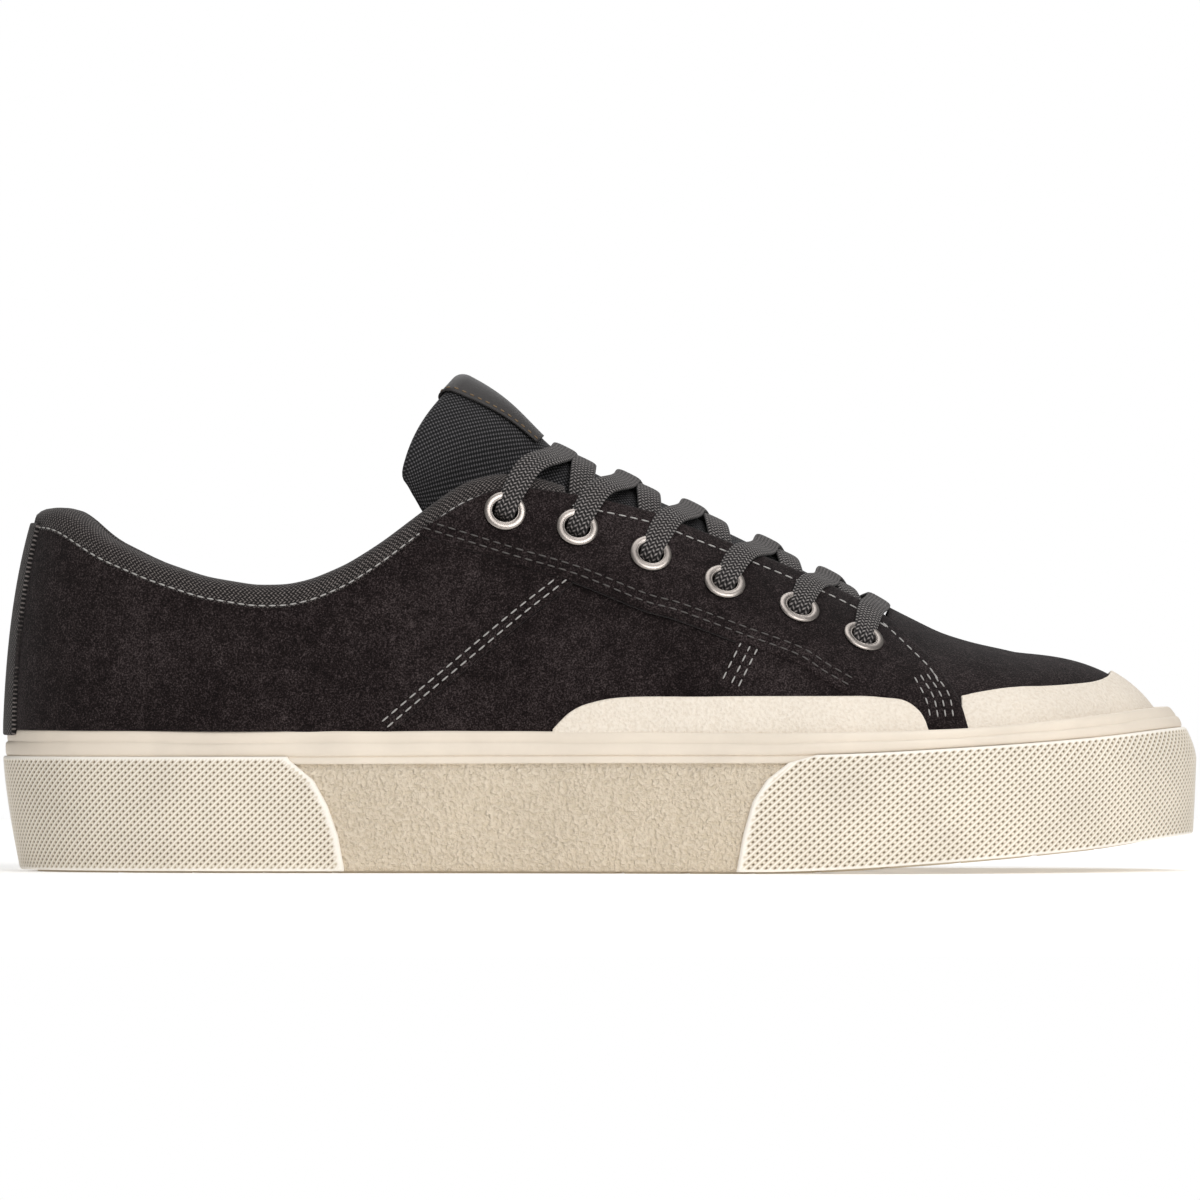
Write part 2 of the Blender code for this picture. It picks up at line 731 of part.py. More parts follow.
def makeCollar():
    wide, thick, clear = size["bindingWidth"], size["bindingThick"], size["gap"]
    above = np.array([0, 0, 1.0])
    sections = []
    for station in collarStations(bindingEnd):
        outer, out, up = edgePoint(station, 0.0)
        inner, inOut, inUp = edgePoint(station, size["wall"] + padAt(outer[0]) + 0.9)
        sections.append([
            outer + out * clear - up * wide,
            outer + out * (clear + thick) - up * wide,
            outer + out * (clear + thick) + above * 0.2,
            outer + out * thick * 0.5 + above * 1.4,
            inner - inOut * thick * 0.2 + above * 1.4,
            inner - inOut * thick + above * 0.2,
            inner - inOut * thick - inUp * wide,
            inner - inUp * wide,
            inner + above * 0.6,
            outer + out * clear + above * 0.6,
        ])
    sectionsSolid("collar_binding", sections, colour=(0.03, 0.032, 0.034), roughness=0.9)

    sections = []
    for station in collarStations(-40.0):
        edge = edgePoint(station, 0.0)[0]
        angle = edgeAngle(station)
        low = angleAt(station, edge[2] - size["collarPadDepth"])
        start = size["wall"] + 0.9
        outer = []
        inner = []
        for share, fill in ((0.0, 0.9), (0.2, 1.0), (0.7, 0.75), (1.0, 0.12)):
            level = angle + (low - angle) * share
            pad = (padAt(edge[0]) - 0.1) * fill
            for side, deep in ((outer, start), (inner, start + pad)):
                place = ribAt(np.array(station), np.array(level), -deep)[0]
                side.append(np.array([place[0], place[1], min(place[2], edge[2] - 0.3)]))
        sections.append(outer + inner[::-1])
    sectionsSolid("collar_padding", sections, colour=(0.02, 0.02, 0.022), roughness=0.95)


def padAt(x):
    """Thickness of the padding inside the collar, thinning to nothing towards the throat."""
    return size["collarPad"] * float(np.clip((-30 - x) / 30, 0.08, 1))


def underLast(x, across, deep):
    """Height of the last's surface moved in by deep, above a place on the flank. Across is measured from the ridge."""
    side = -1 if across < 0 else 1
    angles = np.linspace(0.3, math.pi / 2, 50)
    places = ribAt(np.full(50, stationAt(x, side)), angles, -deep)[0]
    spread = np.abs(places[:, 1] - spineAt(x))
    return float(np.interp(-abs(across), -spread, places[:, 2]))


def spineAt(x):
    return float(columnOf(spineRows, 1, x))


def throatHalf(x, side, deep=0.0):
    """Half the width of the throat at its edge, on the outer face of the upper or deep inside it."""
    station = float(stationAt(x, side))
    return abs(edgePoint(station, deep)[0][1] - spineAt(x))


tongueAcross = np.array([-1, -0.88, -0.62, -0.32, 0, 0.32, 0.62, 0.88, 1])


def tonguePoint(row, share):
    """A point of the tongue's front face."""
    x, z, wide, down, back, _ = row
    along = x - back * share**2
    across = wide * share
    side = -1 if share < 0 else 1
    height = float(upperHeight(x, z)) - down * share**2
    if x > -1:
        near = throatHalf(min(along, 71.0), side) - 3 if along < 72 else 1.0
        cover = min(abs(across) / max(near, 1.0), 1.0)
        followed = underLast(along, across, size["tongueClear"] + (size["wall"] - 0.1) * cover)
        height = followed if down == 0 else min(height, followed)
        if along > 70:
            height = min(height, lastValue(along, "ridge") - size["wall"] - size["tongueClear"] - 0.4)
    elif height < edgeHeight(along) + size["tongueClear"] * 4:
        angle = angleAt(float(stationAt(along, side)), height)
        beside = size["wall"] + size["collarPad"] + size["bindingThick"] + 0.4
        inner = ribAt(np.array(float(stationAt(along, side))), np.array(angle), -beside)[0]
        across = side * min(abs(across), abs(inner[1] - spineAt(along)))
    return np.array([along, spineAt(along) + across, height])


def tongueFront(share, position):
    """The front face at a fractional row."""
    low = int(min(max(math.floor(position), 0), len(tongueRows) - 2))
    part = position - low
    first = np.array(tongueRows[low])
    second = np.array(tongueRows[low + 1])
    return tonguePoint(first + (second - first) * part, share)


def tongueFrame(share, position):
    step = 0.05
    along = tongueFront(share, min(position + step, len(tongueRows) - 1)) - tongueFront(share, max(position - step, 0))
    across = tongueFront(min(share + step, 1), position) - tongueFront(max(share - step, -1), position)
    normal = np.cross(across, along)
    return normal / np.linalg.norm(normal)


def makeTongue():
    front = []
    behind = []
    for position, row in enumerate(tongueRows):
        for share in tongueAcross:
            place = tonguePoint(row, share)
            normal = tongueFrame(share, position)
            normal = normal if normal[0] + normal[2] > 0 else -normal
            edge = 1 - 0.55 * max(abs(share) - 0.75, 0) / 0.25
            front.append(place)
            behind.append(place - normal * size["tongueThick"] * row[5] * edge)
    count = len(tongueAcross)
    rows = len(tongueRows)
    faces = gridFaces(rows, count, False, False)
    shift = rows * count
    faces += [tuple(shift + k for k in face[::-1]) for face in faces]
    for i in range(rows - 1):
        for j in (0, count - 1):
            faces.append((i * count + j, (i + 1) * count + j, shift + (i + 1) * count + j, shift + i * count + j))
    for j in range(count - 1):
        for i in (0, rows - 1):
            faces.append((i * count + j, i * count + j + 1, shift + i * count + j + 1, shift + i * count + j))
    objectFrom("tongue", front + behind, faces, colour=(0.03, 0.031, 0.034), roughness=0.95)


def makeLabel():
    """A plain strip down the middle of the tongue's top, on the tongue's own rows."""
    shares = [share for share in tongueAcross if abs(share) * tongueRows[-1][2] <= size["labelWidth"] / 2 + 0.5]
    sections = []
    for position in (8, 9, 10, 10.9):
        front = []
        top = []
        for share in shares:
            place = tongueFront(share, position)
            normal = tongueFrame(share, position)
            normal = normal if normal[0] + normal[2] > 0 else -normal
            front.append(place + normal * 0.45)
            top.append(place + normal * 1.4)
        sections.append(front + top[::-1])
    sectionsSolid("tongue_label", sections, colour=(0.012, 0.011, 0.011), roughness=0.7)


def makeEyelets():
    hole = size["eyeletHole"] / 2
    rim = size["eyeletWidth"] / 2
    seat = size["gap"] + size["overlay"]
    barrel = hole + 0.5
    profile = [(hole, -2.5), (barrel, -2.5), (barrel, seat + 0.5), (rim, seat + 0.5), (rim - 0.4, seat + 1.3), (hole, seat + 1.3)]
    steps = 8
    for side, word in ((-1, "outer"), (1, "inner")):
        for row in range(len(eyeletRows)):
            centre, axis = eyeletPlace(row, side)
            points = turned(profile, steps, centre, axis)
            faces = gridFaces(steps, len(profile), True, True)
            objectFrom(f"eyelet_{word}_{row + 1}", points, faces, colour=(0.6, 0.56, 0.53), roughness=0.3, metallic=1.0)


def laceHeight(x, across, under):
    """Height of the middle of a lace over the throat. Its far end dips towards the underside of the eyestay."""
    side = -1 if across < 0 else 1
    edge = throatHalf(x, side)
    share = np.clip((abs(across) - 0.1 * edge) / (0.8 * edge), 0, 1)
    share = share * share * (3 - 2 * share)
    out = -1.8 * share if under else 3.2 * share + 2.5 * np.clip((abs(across) - edge) / 6, 0, 1)
    return underLast(x, across, -float(out))


def laceStrand(name, start, middle, end, lift, look):
    """A flat strand from the mouth of one eyelet across the tongue. Start, middle and end are (x, across)."""
    route = []
    for step in np.linspace(0, 1, 9):
        across = start[1] + (end[1] - start[1]) * step
        bend = np.polyfit([start[1], 0.0, end[1]], [start[0], middle, end[0]], 2)
        x = float(np.polyval(bend, across))
        under = across * start[1] < 0 and abs(end[1]) < abs(start[1]) * 0.9
        route.append(np.array([x, spineAt(x) + across, laceHeight(x, across, under) + lift]))
    wide, thick = size["laceWidth"] / 2, size["laceThick"] / 2
    sections = []
    for i, point in enumerate(route):
        along = route[min(i + 1, len(route) - 1)] - route[max(i - 1, 0)]
        along /= np.linalg.norm(along)
        across = point[1] - spineAt(point[0])
        slope = (underLast(point[0] + 3, across, 0) - underLast(point[0] - 3, across, 0)) / 6
        side = np.cross([-slope, 0, 1.0], along)
        side /= np.linalg.norm(side)
        up = np.cross(along, side)
        sections.append([point + side * a * wide + up * b * thick for a, b in ((-1, -1), (1, -1), (1, 1), (-1, 1))])
    return sectionsSolid(name, sections, **look)


def makeLaces():
    look = {"colour": (0.028, 0.03, 0.033), "roughness": 0.85}
    ends = {}
    for side in (-1, 1):
        places = [eyeletPlace(row, side)[0] for row in range(len(eyeletRows))]
        ends[side] = [(place[0], place[1] - spineAt(place[0])) for place in places]
    laceStrand("lace_bar", ends[-1][0], ends[-1][0][0] + 4.4, ends[1][0], 0.0, look)
    for row in range(1, len(eyeletRows)):
        strands = []
        for side, lift in ((-1, 0.25), (1, -0.25)):
            start = ends[side][row]
            far = ends[-side][row - 1][0] + 1.2
            finish = (far, -side * (throatHalf(far, -side, size["wall"]) - 1.5))
            middle = (start[0] + ends[-side][row - 1][0]) / 2 + crossForward[row - 1]
            name = f"lace_cross_{row}" if side < 0 else f"lace_under_{row}"
            strands.append(laceStrand(name, start, middle, finish, lift, look if side < 0 else {}))
        addBoolean(strands[0], "UNION", strands[1])


startScene()
makeSole()
makeTape()
makeInsole()
makeUpper()
makeCollar()
makeTongue()
makeLabel()
makeEyelets()
makeLaces()
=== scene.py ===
import math

import bmesh
import bpy
import numpy as np
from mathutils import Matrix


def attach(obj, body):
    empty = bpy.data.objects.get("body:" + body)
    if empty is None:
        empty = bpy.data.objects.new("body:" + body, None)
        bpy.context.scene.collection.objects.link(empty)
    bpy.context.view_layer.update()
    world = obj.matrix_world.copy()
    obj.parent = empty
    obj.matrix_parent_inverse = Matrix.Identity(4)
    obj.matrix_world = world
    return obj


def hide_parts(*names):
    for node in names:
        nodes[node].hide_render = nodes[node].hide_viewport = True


# Dresses a skateboarding shoe for the right foot. Sizes are in millimetres: +X to the toe, +Y to the inner side, +Z up.
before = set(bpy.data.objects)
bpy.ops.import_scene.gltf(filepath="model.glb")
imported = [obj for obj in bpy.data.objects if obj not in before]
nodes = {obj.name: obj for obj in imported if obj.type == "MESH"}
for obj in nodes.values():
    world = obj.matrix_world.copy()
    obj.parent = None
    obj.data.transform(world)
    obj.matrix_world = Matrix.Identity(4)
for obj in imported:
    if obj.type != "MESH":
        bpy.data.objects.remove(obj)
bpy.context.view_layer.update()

# ---- the last: the form that the upper is pulled over, and the outline of the sole ----
outlineRows = [
    (0.000, 0.0), (0.035, -23.0), (0.130, -38.0), (0.280, -42.5), (0.450, -46.5), (0.600, -54.0),
    (0.710, -58.0), (0.830, -52.0), (0.930, -33.0), (1.000, 6.0), (0.965, 31.0), (0.860, 47.0),
    (0.730, 52.0), (0.580, 45.0), (0.410, 35.5), (0.250, 36.5), (0.120, 36.5), (0.035, 22.0),
]
soleNames = ("x", "bottom", "wallTop", "tapeTop", "bed")
soleRows = [
    (-150, 0.0, 28.9, 35.6, 18.0), (-60, 0.0, 29.1, 35.4, 16.5), (0, 0.0, 29.4, 35.3, 13.5),
    (45, 0.0, 29.4, 35.0, 12.5), (65, 0.9, 29.9, 35.1, 12.9), (91, 2.7, 31.4, 36.1, 14.2),
    (105, 3.8, 32.2, 37.0, 15.0), (129, 6.0, 34.0, 39.6, 16.8), (149, 9.2, 36.4, 41.4, 19.4),
]
insetNames = ("x", "footSlope", "topSlope", "tape", "feather")
insetRows = [
    (-150, 4.3, 0.0, 0.6, 4.8), (-110, 3.2, 0.0, 1.0, 4.8), (-40, 2.4, 0.0, 1.6, 4.8),
    (60, 2.0, 0.3, 1.8, 4.8), (105, 1.6, 1.6, 2.8, 6.4), (150, 1.0, 3.0, 3.9, 8.6),
]
lastNames = ("x", "ridge", "side", "crown", "lean", "bulge")
lastRows = [
    (-150, 115.0, 3.6, 3.6, 0.26, 3.8), (-100, 115.0, 3.6, 3.4, 0.24, 3.0), (-60, 115.0, 3.2, 3.0, 0.16, 1.8),
    (-30, 113.0, 2.7, 2.5, 0.08, 1.6), (-7, 105.0, 2.35, 2.1, 0.0, 1.6), (10, 97.5, 2.3, 1.95, 0.0, 1.6),
    (30, 88.5, 2.25, 1.8, 0.0, 1.6), (48, 79.5, 2.2, 1.65, 0.0, 1.6), (62, 72.0, 2.2, 1.6, 0.0, 1.6),
    (72, 66.3, 2.2, 1.65, 0.0, 1.6), (81, 61.9, 2.25, 1.8, 0.0, 1.6), (92, 57.6, 2.35, 2.0, 0.0, 1.8),
    (105, 53.8, 2.5, 2.2, 0.0, 2.0),
]
spineRows = [(-112, 2.5), (-40, -1.0), (10, 0.5), (60, 1.5), (105, 6.0)]
edgeRows = [
    (-142.0, 89.2), (-137.0, 89.8), (-134.0, 88.6), (-125.2, 82.2), (-112.4, 76.5), (-99.5, 72.2),
    (-86.7, 70.1), (-78.0, 70.2), (-71.8, 71.6), (-63.2, 75.3), (-54.5, 80.8), (-44.2, 88.6),
    (-36.7, 94.1), (-31.0, 96.8), (-23.0, 98.0), (-14.2, 96.6), (-6.7, 94.0), (10.4, 90.0),
    (29.7, 82.4), (47.8, 75.0), (62.3, 68.2), (72.0, 62.8),
]
heelCentre, toeCentre = -112.0, 105.0
half, fan = 640, 120  # stations on each side, and round the heel or the toe
around = 2 * half
wholeX = np.arange(-170, 171)


def smoothed(rows, names, spread):
    """Columns of a table as smooth curves, a value to a millimetre."""
    table = np.array(rows, float)
    reach = 4 * spread
    weights = np.exp(-0.5 * (np.arange(-reach, reach + 1) / spread) ** 2)
    weights /= weights.sum()
    wide = np.arange(wholeX[0] - reach, wholeX[-1] + reach + 1)
    curves = {}
    for column, name in enumerate(names[1:], 1):
        curves[name] = np.convolve(np.interp(wide, table[:, 0], table[:, column]), weights, "valid")
    return curves


curves = smoothed(soleRows, soleNames, 7)
curves.update(smoothed(insetRows, insetNames, 7))
curves.update(smoothed(lastRows, lastNames, 5))
curves.update(smoothed(spineRows, ("x", "spine"), 8))
curves.update(smoothed(edgeRows, ("x", "edge"), 2))


def valueAt(name, x):
    return np.interp(x, wholeX, curves[name])


def softStep(value, low, high):
    share = np.clip((value - low) / (high - low), 0, 1)
    return share * share * (3 - 2 * share)


def closedSpline(points, perSpan):
    """Cubic curve through a closed run of points, by solving for the bend at each."""
    points = np.array(points, float)
    count = len(points)
    chord = np.linalg.norm(np.roll(points, -1, axis=0) - points, axis=1)
    system = np.zeros((count, count))
    pull = np.zeros((count, 2))
    for i in range(count):
        before, after = chord[i - 1], chord[i]
        following = (i + 1) % count
        system[i, i - 1] = before
        system[i, i] = 2 * (before + after)
        system[i, following] = after
        pull[i] = 6 * ((points[following] - points[i]) / after - (points[i] - points[i - 1]) / before)
    bend = np.linalg.solve(system, pull)
    step = (np.arange(perSpan) / perSpan)[:, None]
    rest = 1 - step
    spans = []
    for i in range(count):
        following = (i + 1) % count
        bow = (rest**3 - rest) * bend[i] + (step**3 - step) * bend[following]
        spans.append(rest * points[i] + step * points[following] + bow * chord[i] ** 2 / 6)
    return np.vstack(spans)


def stationsOf(line):
    """One side of the outline: even steps round the heel and the toe, even steps along the shoe between them."""
    spread = []
    for part in (line[line[:, 0] <= heelCentre], line[line[:, 0] >= toeCentre]):
        run = np.r_[0, np.cumsum(np.linalg.norm(np.diff(part, axis=0), axis=1))]
        steps = np.linspace(0, run[-1], fan + 1)
        spread.append(np.c_[np.interp(steps, run, part[:, 0]), np.interp(steps, run, part[:, 1])])
    middle = np.linspace(heelCentre, toeCentre, half - 2 * fan + 1)
    flank = np.c_[middle, np.interp(middle, line[:, 0], line[:, 1])]
    return np.vstack([spread[0][:fan], flank, spread[1][1:]])


def outlineRing():
    dense = closedSpline([((share - 0.5) * 300, across) for share, across in outlineRows], 200)
    dense[:, 0] = (dense[:, 0] - dense[:, 0].min()) / np.ptp(dense[:, 0]) * 300 - 150
    dense[:, 1] -= (dense[:, 1].max() + dense[:, 1].min()) / 2
    dense = np.roll(dense, -dense[:, 0].argmin(), axis=0)
    toe = dense[:, 0].argmax()
    outer = stationsOf(dense[: toe + 1])
    inner = stationsOf(np.vstack([dense[toe:], dense[:1]])[::-1])
    return np.vstack([outer, inner[1:-1][::-1]])


ring = outlineRing()
ringTangent = np.roll(ring, -3, axis=0) - np.roll(ring, 3, axis=0)
ringTangent /= np.linalg.norm(ringTangent, axis=1)[:, None]
ringInward = np.c_[-ringTangent[:, 1], ringTangent[:, 0]]
ringRun = np.r_[0, np.cumsum(np.linalg.norm(np.diff(np.vstack([ring, ring[:1]]), axis=0), axis=1))]
spineX = np.clip(ring[:, 0], heelCentre, toeCentre)
spine = np.c_[spineX, valueAt("spine", spineX)]
feather = ring + ringInward * valueAt("feather", ring[:, 0])[:, None]
bed = valueAt("bed", ring[:, 0])
whole = np.arange(around + 1)


def alongRing(values, station):
    """Values kept per station, read between stations."""
    station = np.mod(station, around)
    if values.ndim == 1:
        return np.interp(station, whole, values[whole % around])
    return np.stack([np.interp(station, whole, values[whole % around, k]) for k in range(values.shape[1])], axis=-1)


def ribPoint(station, angle):
    """A point of the last on the rib at station, angle up from its feather edge."""
    foot = alongRing(feather, station)
    top = alongRing(spine, station)
    low = alongRing(bed, station) + 0.3
    at = top[..., 0]
    rise = np.sin(angle) ** (2 / valueAt("side", at))
    reach = np.abs(np.cos(angle)) ** (2 / valueAt("crown", at))
    arm = foot - top
    length = np.linalg.norm(arm, axis=-1)
    ease = 1 - (1 - np.minimum(rise / 0.2, 1)) ** 2
    span = length * (1 - valueAt("lean", at) * rise**2) + valueAt("bulge", at) * ease
    flat = top + arm * (reach * span / length)[..., None]
    return np.concatenate([flat, (low + (valueAt("ridge", at) - low) * rise)[..., None]], axis=-1)


# Soft troughs (below 0) and ridges of the upper seen from the side: from x, z to x, z, width, height.
creases = [
    (-60.0, 62.0, -30.0, 46.0, 9.0, -0.9), (-96.0, 64.0, -88.0, 42.0, 12.0, 0.7), (-20.0, 78.0, -6.0, 60.0, 8.0, -0.5),
    (92.0, 46.0, 84.0, 56.0, 6.0, -0.6), (104.0, 46.0, 101.0, 54.0, 7.0, 0.5), (-124.0, 72.0, -119.0, 44.0, 9.0, -0.5),
    (14.0, 56.0, 24.0, 46.0, 7.0, -0.5), (-10.0, 56.0, 2.0, 46.0, 9.0, 0.5),
]


def creaseAt(place):
    total = np.zeros(place.shape[:-1])
    for x1, z1, x2, z2, width, height in creases:
        alongX, alongZ = x2 - x1, z2 - z1
        share = ((place[..., 0] - x1) * alongX + (place[..., 2] - z1) * alongZ) / (alongX**2 + alongZ**2)
        share = np.clip(share, 0, 1)
        away = np.hypot(place[..., 0] - x1 - share * alongX, place[..., 2] - z1 - share * alongZ)
        total += height * np.exp(-((away / width) ** 2))
    return total


def ribNormal(station, angle):
    low, high = np.maximum(angle - 0.01, 0.002), np.minimum(angle + 0.01, math.pi / 2)
    along = ribPoint(station + 1.0, angle) - ribPoint(station - 1.0, angle)
    up = ribPoint(station, high) - ribPoint(station, low)
    normal = np.cross(along, up)
    normal[..., 1] = np.where(angle > math.pi / 2 - 1e-9, 0.0, normal[..., 1])  # both sides meet on the ridge
    length = np.linalg.norm(normal, axis=-1, keepdims=True)
    return np.where(length > 1e-7, normal / np.maximum(length, 1e-7), [0, 0, 1.0])


def surface(station, angle, out=0.0):
    """A point of the upper's outer face moved out along its normal, and that normal."""
    station, angle = np.broadcast_arrays(np.asarray(station, float), np.asarray(angle, float))
    place = ribPoint(station, angle)
    normal = ribNormal(station, angle)
    height = np.asarray(out) + creaseAt(place)
    return place + normal * height[..., None], normal


def angleAt(station, height):
    """How far up its rib a station reaches this height."""
    at = alongRing(spine, station)[..., 0]
    low = alongRing(bed, station) + 0.3
    rise = np.clip((height - low) / (valueAt("ridge", at) - low), 0, 1)
    return np.arcsin(rise ** (valueAt("side", at) / 2))


def halved(low, high, isBelow, rounds=34):
    """The place between low and high where isBelow turns false, for whole arrays."""
    low, high = np.array(low, float), np.array(high, float)
    for _ in range(rounds):
        middle = (low + high) / 2
        below = isBelow(middle)
        low = np.where(below, middle, low)
        high = np.where(below, high, middle)
    return (low + high) / 2


def placeOn(x, z, side):
    """(station, angle) of a place seen from the side. Side is -1 on the outer side, 1 on the inner."""
    x, z = np.broadcast_arrays(np.asarray(x, float), np.asarray(z, float))

    def turn(step):
        return step if side < 0 else around - step

    def isBelow(step):
        return ribPoint(turn(step), angleAt(turn(step), z))[..., 0] < x

    station = turn(halved(np.zeros(x.shape), np.full(x.shape, float(half)), isBelow))
    return station, angleAt(station, z)


def edgeAngle(station):
    """The angle at which a rib meets the collar and throat edge."""
    station = np.asarray(station, float)

    def isBelow(angle):
        place = ribPoint(station, angle)
        return place[..., 2] < valueAt("edge", place[..., 0])

    return halved(np.full(station.shape, 0.2), np.full(station.shape, math.pi / 2), isBelow)


def edgePlace(station, deep):
    """A point level with the collar edge, deep inside the last, with the way out and the way up there."""
    station = np.asarray(station, float)
    height = ribPoint(station, edgeAngle(station))[..., 2]

    def isBelow(angle):
        return surface(station, angle, -deep)[0][..., 2] < height

    angle = halved(np.full(station.shape, 0.3), np.full(station.shape, math.pi / 2 - 0.01), isBelow)
    place, normal = surface(station, angle, -deep)
    up = place - surface(station, angle - 0.05, -deep)[0]
    return place, normal, up / np.linalg.norm(up, axis=-1, keepdims=True)


def smoothLine(points, count):
    """A curve through key points that passes them at even steps, so that two such curves match key by key."""
    points = np.array(points, float)
    ends = np.vstack([2 * points[0] - points[1], points, 2 * points[-1] - points[-2]])
    steps = np.linspace(0, len(points) - 1, count)
    first = np.minimum(steps.astype(int), len(points) - 2)
    t = (steps - first)[:, None]
    a, b, c, d = (ends[first + k] for k in range(4))
    return 0.5 * (2 * b + (c - a) * t + (2 * a - 5 * b + 4 * c - d) * t**2 + (3 * b - a - 3 * c + d) * t**3)


# ---- making and finishing pieces ----
def hexColour(text):
    """A colour written as on screen, for the shaders."""
    values = [int(text[k : k + 2], 16) / 255 for k in (1, 3, 5)]
    return tuple(v / 12.92 if v <= 0.04045 else ((v + 0.055) / 1.055) ** 2.4 for v in values) + (1.0,)


def addNode(material, kind, settings=None, links=None):
    node = material.node_tree.nodes.new("ShaderNode" + kind)
    for name, value in (settings or {}).items():
        if isinstance(name, int) or name in node.inputs:
            node.inputs[name].default_value = value
        else:
            setattr(node, name, value)
    for name, source in (links or {}).items():
        material.node_tree.links.new(source, node.inputs[name])
    return node


def newMaterial(name, settings):
    material = bpy.data.materials.new(name)
    material.use_nodes = True
    shader = material.node_tree.nodes["Principled BSDF"]
    for key, value in settings.items():
        shader.inputs[key].default_value = value
    place = addNode(material, "TexCoord").outputs["Object"]
    return material, shader, place


def ramp(material, source, stops):
    node = addNode(material, "ValToRGB", links={"Fac": source})
    elements = node.color_ramp.elements
    while len(elements) < len(stops):
        elements.new(0.5)
    for element, (position, colour) in zip(elements, stops):
        element.position = position
        element.color = hexColour(colour) if isinstance(colour, str) else (colour, colour, colour, 1)
    return node.outputs["Color"]


def noiseOf(material, place, sizeMm, detail=3.0, rough=0.55):
    settings = {"Scale": 1000 / sizeMm, "Detail": detail, "Roughness": rough}
    return addNode(material, "TexNoise", settings, {"Vector": place}).outputs["Fac"]


def addBump(material, shader, layers):
    """Layers of (height, depth in millimetres), from coarse to fine."""
    normal = None
    for height, depth in layers:
        links = {"Height": height}
        if normal:
            links["Normal"] = normal
        node = addNode(material, "Bump", {"Strength": 1.0, "Distance": depth * 0.001}, links)
        normal = node.outputs["Normal"]
    material.node_tree.links.new(normal, shader.inputs["Normal"])


def meshPiece(name, vertices, faces, materials, slotName, smooth=True, values=None):
    mesh = bpy.data.meshes.new(name)
    mesh.from_pydata((np.asarray(vertices, float) * 0.001).tolist(), [], [tuple(map(int, face)) for face in faces])
    for key, data in (values or {}).items():
        layer = mesh.attributes.new(key, "FLOAT" if data.ndim == 1 else "FLOAT_VECTOR", "POINT")
        layer.data.foreach_set("value" if data.ndim == 1 else "vector", np.asarray(data, float).ravel())
    form = bmesh.new()
    form.from_mesh(mesh)
    bmesh.ops.remove_doubles(form, verts=form.verts, dist=0.000002)
    bmesh.ops.recalc_face_normals(form, faces=form.faces)
    form.to_mesh(mesh)
    form.free()
    item = bpy.data.objects.new(name, mesh)
    bpy.context.scene.collection.objects.link(item)
    for material in materials if isinstance(materials, list) else [materials]:
        mesh.materials.append(material)
    if smooth:
        mesh.shade_smooth()
    item["slotName"] = slotName
    return item


def finishPiece(item, *replaced):
    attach(item, "root")
    if replaced:
        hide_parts(*replaced)
    del item["slotName"]
    return item


def gridFaces(rows, columns, closedRows=False, closedColumns=False, first=0):
    i = np.arange(rows if closedRows else rows - 1)[:, None]
    j = np.arange(columns if closedColumns else columns - 1)[None, :]
    nextI, nextJ = (i + 1) % rows, (j + 1) % columns
    quads = np.stack([i * columns + j, i * columns + nextJ, nextI * columns + nextJ, nextI * columns + j], axis=-1)
    return (quads.reshape(-1, 4) + first).tolist()


def applyModifiers(item):
    bpy.ops.object.select_all(action="DESELECT")
    item.select_set(True)
    bpy.context.view_layer.objects.active = item
    for modifier in list(item.modifiers):
        bpy.ops.object.modifier_apply(modifier=modifier.name)


def cutWith(item, cutter):
    cut = item.modifiers.new("holes", "BOOLEAN")
    cut.operation = "DIFFERENCE"
    cut.solver = "EXACT"
    cut.object = cutter
    applyModifiers(item)


def boundaryOf(rows, columns):
    """Index of each grid point once round the border, and of its neighbour inward."""
    last, end = rows - 1, columns - 1
    loop = [(0, j) for j in range(end)] + [(i, end) for i in range(last)]
    loop += [(last, j) for j in range(end, 0, -1)] + [(i, 0) for i in range(last, 0, -1)]
    inward = [(min(max(i, 1), last - 1), min(max(j, 1), end - 1)) for i, j in loop]
    return np.array([i * columns + j for i, j in loop]), np.array([i * columns + j for i, j in inward])


def panelFrom(name, stations, angles, out, thick, material, slotName, puff=0.0, cloth=None):
    """A closed panel with rounded edges laid over a grid of (station, angle)."""
    rows, columns = stations.shape
    u = np.minimum(np.linspace(0, 1, rows), np.linspace(1, 0, rows))[:, None]
    v = np.minimum(np.linspace(0, 1, columns), np.linspace(1, 0, columns))[None, :]
    swell = puff * (1 - (1 - np.minimum(u * 4, 1)) ** 2) * (1 - (1 - np.minimum(v * 8, 1)) ** 2)
    top, normal = surface(stations, angles, out + thick + swell)
    top, normal = top.reshape(-1, 3), normal.reshape(-1, 3)
    under = surface(stations, angles, out)[0].reshape(-1, 3)
    loop, inner = boundaryOf(rows, columns)
    side = top[loop] - top[inner]
    side -= normal[loop] * (side * normal[loop]).sum(axis=1)[:, None]
    side /= np.maximum(np.linalg.norm(side, axis=1), 1e-6)[:, None]
    skirts = [(0.2, 0.06), (0.36, 0.22), (0.42, 0.5), (0.38, 0.95)]
    vertices = [top, under] + [top[loop] + side * a * thick - normal[loop] * b * thick for a, b in skirts]
    count, edge = rows * columns, len(loop)
    faces = gridFaces(rows, columns) + [face[::-1] for face in gridFaces(rows, columns, first=count)]
    chain = [loop] + [np.arange(edge) + 2 * count + k * edge for k in range(len(skirts))] + [loop + count]
    for near, far in zip(chain, chain[1:]):
        faces += [(near[k], near[(k + 1) % edge], far[(k + 1) % edge], far[k]) for k in range(edge)]
    values = {"cloth": np.vstack([cloth, cloth] + [cloth[loop]] * len(skirts))} if cloth is not None else None
    return meshPiece(name, np.vstack(vertices), faces, material, slotName, values=values)


